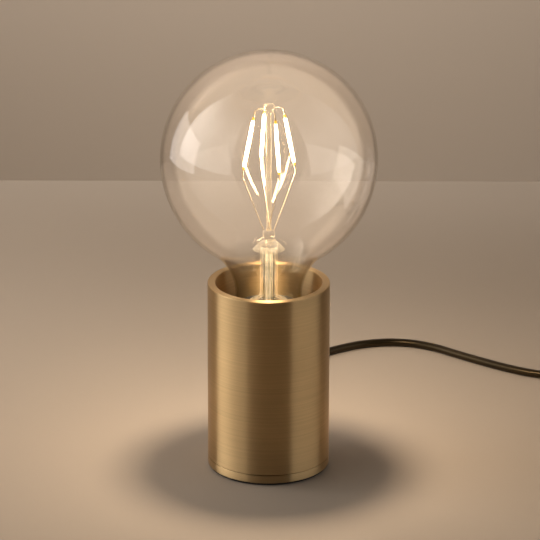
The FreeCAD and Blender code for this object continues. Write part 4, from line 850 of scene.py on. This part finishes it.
class LAMP_OT_bulb(bpy.types.Operator):
    """Clear globe bulb: glass, stem with its skirt and pinch, post, filaments, wires and threaded cap."""
    bl_idname = "lamp.bulb"
    bl_label = "Bulb"
    bl_options = {"REGISTER", "UNDO"}

    def execute(self, context):
        settings = context.scene.lamp_bulb
        self.glass(settings)
        self.stem()
        self.exhaust()
        self.post()
        self.glowing_filaments(settings)
        self.lamp_light(settings)
        self.link_glass()
        self.cap(settings)
        return {"FINISHED"}

    def skin(self, inset):
        """Outline of the globe from its collar to its top, moved inwards by inset, as arcs that run on into
        each other: shoulder, throat, and the globe below and above its middle. The lower arc is a little
        wider, with its middle beyond the axis, and meets the throat's at the given angle."""
        shoulder, shoulder_height = 7 * MM, 104 * MM
        throat, throat_height = 33 * MM, 106.26 * MM
        beyond_axis = 4 * MM
        meeting = 55.54
        height = GLASS_HIGH.z - GLOBE_RADIUS
        return np.concatenate([
            arc((COLLAR_RADIUS, shoulder_height), shoulder - inset, -90, 0, count=12),
            arc((COLLAR_RADIUS + shoulder + throat, throat_height), throat + inset, 180, 180 - meeting,
                count=28),
            arc((-beyond_axis, height), GLOBE_RADIUS + beyond_axis - inset, -meeting, 0, count=40),
            arc((0, height), GLOBE_RADIUS - inset, 0, 90, count=64)])

    def glass(self, settings):
        """The globe's skin and the same skin a wall further in, joined at the collar."""
        wall = settings.glass_wall
        low = GLASS_LOW.z
        outline = np.concatenate([[(COLLAR_RADIUS, low)], self.skin(0.0), self.skin(wall)[::-1],
                                  [(COLLAR_RADIUS - wall, low)]])
        globe = lathe("globe_glass", outline, steps=160)
        dress(globe, clear_globe(settings), "bulb", ["bulb_glass"])

    def stem(self):
        """Flared tube with a drooping skirt round its top, closed by the flat pinch."""
        wall, rim, neck, flare = 1 * MM, 11.1 * MM, 5 * MM, 6 * MM
        shelf, top, crown = 101.8 * MM, 133.2 * MM, 138.85 * MM
        lip, skirt, lip_rise = 8.3 * MM, 9.2 * MM, 0.45 * MM
        under_skirt, below_top = 2.6 * MM, 2 * MM
        skirt_round, round_out, round_drop = 8.6 * MM, 0.6 * MM, 3.0 * MM
        bend = (neck + flare, shelf + flare)
        outline = np.concatenate([
            [(rim - wall, GLASS_LOW.z), (rim, GLASS_LOW.z), (rim, shelf)],
            arc(bend, flare, -90, -180),
            [(neck, top - below_top), (neck, top + under_skirt), (lip, top), (skirt, top + lip_rise)],
            arc((round_out, top - round_drop), skirt_round, 28, 78),
            [(0, crown), (0, top - wall), (neck - wall, top - wall)],
            arc(bend, flare + wall, -180, -90),
            [(rim - wall, shelf - wall)]])
        tube = lathe("stem_glass", outline, steps=96)
        stem = join("stem_glass", [tube, self.pinch()])
        dress(stem, drawn_glass("stem_glass", 0.03, 0.8), "bulb", ["bulb_stem"])

    def pinch(self):
        """Pinched end of the stem: rounded squares (cos^0.75 a, sin^0.75 a) whose size goes with height as
        the root of a sine, and draws in over the last three rows."""
        low, half_width, half_depth, power = 138.2 * MM, 3.6 * MM, 2.3 * MM, 0.75
        rows, columns = 12, 48
        height = np.linspace(low, PINCH_TOP, rows)
        swell = np.sin(np.linspace(0.35, 1.0, rows) * math.pi * 0.5) ** 0.5
        swell[-3:] *= (0.97, 0.88, 0.6)
        angle = circle(columns)
        points = np.stack([swell[:, None] * squared(np.cos(angle), power) * half_width,
                           swell[:, None] * squared(np.sin(angle), power) * half_depth,
                           np.broadcast_to(height[:, None], (rows, columns))], axis=-1)
        caps = [np.broadcast_to([[[0, 0, level]]], (1, columns, 3)) for level in (low, PINCH_TOP)]
        return surface("pinch", np.concatenate([caps[0], points, caps[1]]))

    def exhaust(self):
        """Thin tube up the middle of the stem, with a drawn-in lower tip."""
        bore, radius, taper, tip_dip = 1.4 * MM, 2.2 * MM, 1.4 * MM, 0.2 * MM
        low, high = 95 * MM, 132.2 * MM
        outline = [(0, low), (bore, low), (radius, low + taper), (radius, high), (bore, high),
                   (bore, low + taper), (0, low + taper - tip_dip)]
        tube = lathe("exhaust_glass", outline, steps=48, closed=False)
        dress(tube, drawn_glass("exhaust_glass", 0.10, 1.5), "bulb", ["exhaust_tube"])

    def post(self):
        """Glass rod that stands on the pinch and ends in a rounded bead."""
        rod, rod_top = 1.55 * MM, 216.2 * MM
        bead, bead_low = 3.0 * MM, 217.3 * MM
        bead_round, round_out, round_height = 1.55 * MM, 1.85 * MM, 219.65 * MM
        outline = np.concatenate([
            [(0, PINCH_TOP), (rod, PINCH_TOP), (rod, rod_top), (bead, bead_low)],
            arc((round_out, round_height), bead_round, -40, 90), [(0, round_height + bead_round)]])
        post = lathe("post_glass", outline, steps=48, closed=False)
        dress(post, drawn_glass("post_glass", 0.0, 1.0), "bulb", ["centre_post"])

    def glowing_filaments(self, settings):
        """Four lit filaments that lean in towards the top of the post, with their tabs and wires. A filament
        is a round bar whose ends close as sin^0.12; wires are bars along smooth curves."""
        low = np.array([15.2, 0, 183.4]) * MM
        high = np.array([9.2, 0, 214.0]) * MM
        bead = np.array([3.4, 0, 219.0]) * MM
        roots = np.array([(3.0, 0, 0), (0.8, 1.95, 0), (-3.0, 0, 0), (-0.8, -1.95, 0)]) * MM
        sag = np.array([0, 0, 0.3]) * MM
        filament, tab_radius, support_radius, lead_radius = 0.98 * MM, 0.38 * MM, 0.2 * MM, 0.22 * MM
        tab = 4 * MM * (high - low) / np.linalg.norm(high - low)
        steps = np.linspace(0, 1, 24)[:, None]
        ends = np.sin(np.clip(steps[:, 0], 0.02, 0.98) * math.pi) ** 0.12
        cores, tabs, leads, supports = [], [], [], []
        for root, turn in zip(roots + [0, 0, PINCH_TOP], settings.filament_turns):
            line = turned_about_z(low + (high - low) * steps, turn)
            cores.append(sweep("core", line, filament * ends, steps=14))
            for first, last in ((low - tab, low), (high, high + tab)):
                line = turned_about_z(first + (last - first) * steps, turn)
                tabs.append(sweep("tab", line, tab_radius, steps=8))
            foot, pin, eye = turned_about_z([low - tab, high + tab, bead], turn)
            path = smooth_path([eye, (pin + eye) / 2 + sag, pin], count=10)
            supports.append(sweep("support", path, support_radius, steps=8))
            path = smooth_path([root, (root + foot) / 2 - sag, foot], count=16)
            leads.append(sweep("lead", path, lead_radius, steps=8))
        glow = filament_glow(settings, low[2], high[2])
        wire = plain_metal("wire_metal", (0.86, 0.70, 0.48), 0.3, metallic=0.65)
        for name, bars, finish, slot in (
                ("filaments", cores, glow, "filament_glow"), ("filament_tabs", tabs, wire, "wire_metal"),
                ("support_wires", supports, wire, "wire_metal"), ("lead_wires", leads, wire, "wire_metal")):
            dress(join(name, bars), finish, "bulb", [name])

    def lamp_light(self, settings):
        """The light that the filaments throw, and its weaker gleam in the pieces that mirror it."""
        for name, mirrored, share in (("filament_light", False, 1.0), ("filament_gleam", True, 0.65)):
            lamp = add_light(name, "POINT", GLOW_PLACE, settings.lamp_power * share, (1.0, 0.83, 0.64),
                             mirrored)
            lamp.data.shadow_soft_size = 0.014

    def link_glass(self):
        """All pieces but the bulb's glass mirror the gleam, and only that glass mirrors the left panel."""
        for lamp_name, state in (("filament_gleam", "EXCLUDE"), ("left_panel", "INCLUDE")):
            glass = bpy.data.collections.new(lamp_name + "_glass")
            bpy.data.objects[lamp_name].light_linking.receiver_collection = glass
            for piece_name in ("globe_glass", "stem_glass", "exhaust_glass", "post_glass"):
                glass.objects.link(bpy.data.objects[piece_name])
            for member in glass.collection_objects:
                member.light_linking.link_state = state

    def cap(self, settings):
        """Threaded cap: its radius waves as cos(a - 2 pi z / pitch), fading out at both ends. Its inside is
        the same skin a wall further in."""
        wall, thread, fade = 0.5 * MM, 0.55 * MM, 2 * MM
        plain_low, plain_top = 1.2 * MM, 1.5 * MM
        lip = np.array([(11.9 * MM, CAP_LOW.z), (12.6 * MM, CAP_LOW.z + 0.5 * MM)])
        count = 96
        low, high = CAP_LOW.z + plain_low, CAP_HIGH.z
        z = np.linspace(low, high, count)[:, None]
        angle = circle(count)
        depth = thread * np.clip((z - low) / fade, 0, 1) * np.clip((high - z - plain_top) / fade, 0, 1)
        radius = CAP_HIGH.x - depth * (0.5 - 0.5 * np.cos(angle - TURN * z / settings.thread_pitch))
        skin = revolved(radius, z, angle)
        lips = revolved(lip[:, :1], lip[:, 1:], angle)
        inside = skin[::-1].copy()
        inside[..., :2] *= 1 - wall / radius[::-1, :, None]
        piece = surface("threaded_cap", np.concatenate([lips, skin, inside]), round_v=True)
        metal = plain_metal("cap_metal", (0.72, 0.70, 0.67), 0.28, (1.0, 1.0, 20.0))
        dress(piece, metal, "bulb", ["bulb_cap"])


# ---------------------------------------------------------------- kept parts
class LAMP_OT_kept_parts(bpy.types.Operator):
    """Finishes for the parts that keep the shape they have in the packed model."""
    bl_idname = "lamp.kept_parts"
    bl_label = "Kept Parts"
    bl_options = {"REGISTER", "UNDO"}

    def execute(self, context):
        groups = (
            (plain_metal("zinc_steel", (0.56, 0.57, 0.58), 0.34),
             ("base_screws", "holder_bracket", "bracket_screws", "nipple", "nipple_nut", "nipple_washer",
              "clamp_screws", "terminal_screws")),
            (plain_metal("contact_brass", (0.78, 0.58, 0.28), 0.3),
             ("holder_screw_shell", "centre_contact", "side_contact", "switch_contacts")),
            (plain_metal("pin_nickel", (0.72, 0.69, 0.64), 0.22, (1.0, 14.0, 1.0)),
             ("feed_wires", "plug_pins")),
            (plain_metal("pin_steel", (0.5, 0.5, 0.5), 0.3), ("rocker_pin", "switch_screws")),
            (plain_metal("solder_tip", (0.66, 0.65, 0.63), 0.36), ("cap_contact",)),
            (black_plastic("black_housing", (0.014, 0.013, 0.012), 0.42),
             ("switch_lower_housing", "switch_upper_housing", "switch_rocker", "plug_body")),
            (black_plastic("relief_black", (0.013, 0.012, 0.011), 0.5),
             ("cord_clamp", "strain_relief", "inner_cord")),
            (black_plastic("black_glass", (0.008, 0.008, 0.010), 0.12), ("cap_insulator",)),
            (black_plastic("sleeve_black", (0.016, 0.016, 0.016), 0.3), ("plug_sleeves",)),
            (black_plastic("live_insulation", (0.16, 0.06, 0.02), 0.4), ("live_wire",)),
            (black_plastic("neutral_insulation", (0.02, 0.07, 0.24), 0.4), ("neutral_wire",)),
            (speckled("ivory_ceramic", 0.35, 900.0, (0.74, 0.68, 0.58), (0.82, 0.78, 0.69)),
             ("holder_core",)),
            (speckled("circuit_board", 0.4, 1500.0, (0.01, 0.09, 0.035), (0.015, 0.13, 0.05), detail=1.0),
             ("driver_board",)))
        for finish, names in groups:
            for name in names:
                dress_node(name, finish)
        return {"FINISHED"}


class LAMP_PT_panel(bpy.types.Panel):
    """Lists the lamp's operators and settings."""
    bl_idname = "LAMP_PT_panel"
    bl_label = "Table Lamp"
    bl_space_type = "VIEW_3D"
    bl_region_type = "UI"
    bl_category = "Lamp"

    def draw(self, context):
        for operator in OPERATORS:
            self.layout.operator(operator.bl_idname)
        for name, group in SETTINGS.items():
            box = self.layout.box()
            box.label(text=group.__doc__)
            for prop in group.__annotations__:
                box.prop(getattr(context.scene, name), prop)


OPERATORS = (LAMP_OT_stage, LAMP_OT_cord, LAMP_OT_brass_body, LAMP_OT_lampholder, LAMP_OT_bulb,
             LAMP_OT_kept_parts)


def register():
    """Adds the classes, and one group of settings each to the scene."""
    for group in (*SETTINGS.values(), *OPERATORS, LAMP_PT_panel):
        bpy.utils.register_class(group)
    for name, group in SETTINGS.items():
        setattr(bpy.types.Scene, name, PointerProperty(type=group))


def unregister():
    """Takes the settings and the classes away again."""
    for name in SETTINGS:
        delattr(bpy.types.Scene, name)
    for group in (LAMP_PT_panel, *OPERATORS, *SETTINGS.values()):
        bpy.utils.unregister_class(group)


def main():
    """Builds the lamp on its stage."""
    register()
    for operator in OPERATORS:
        space, name = operator.bl_idname.split(".")
        getattr(getattr(bpy.ops, space), name)()


if __name__ == "__main__":
    main()
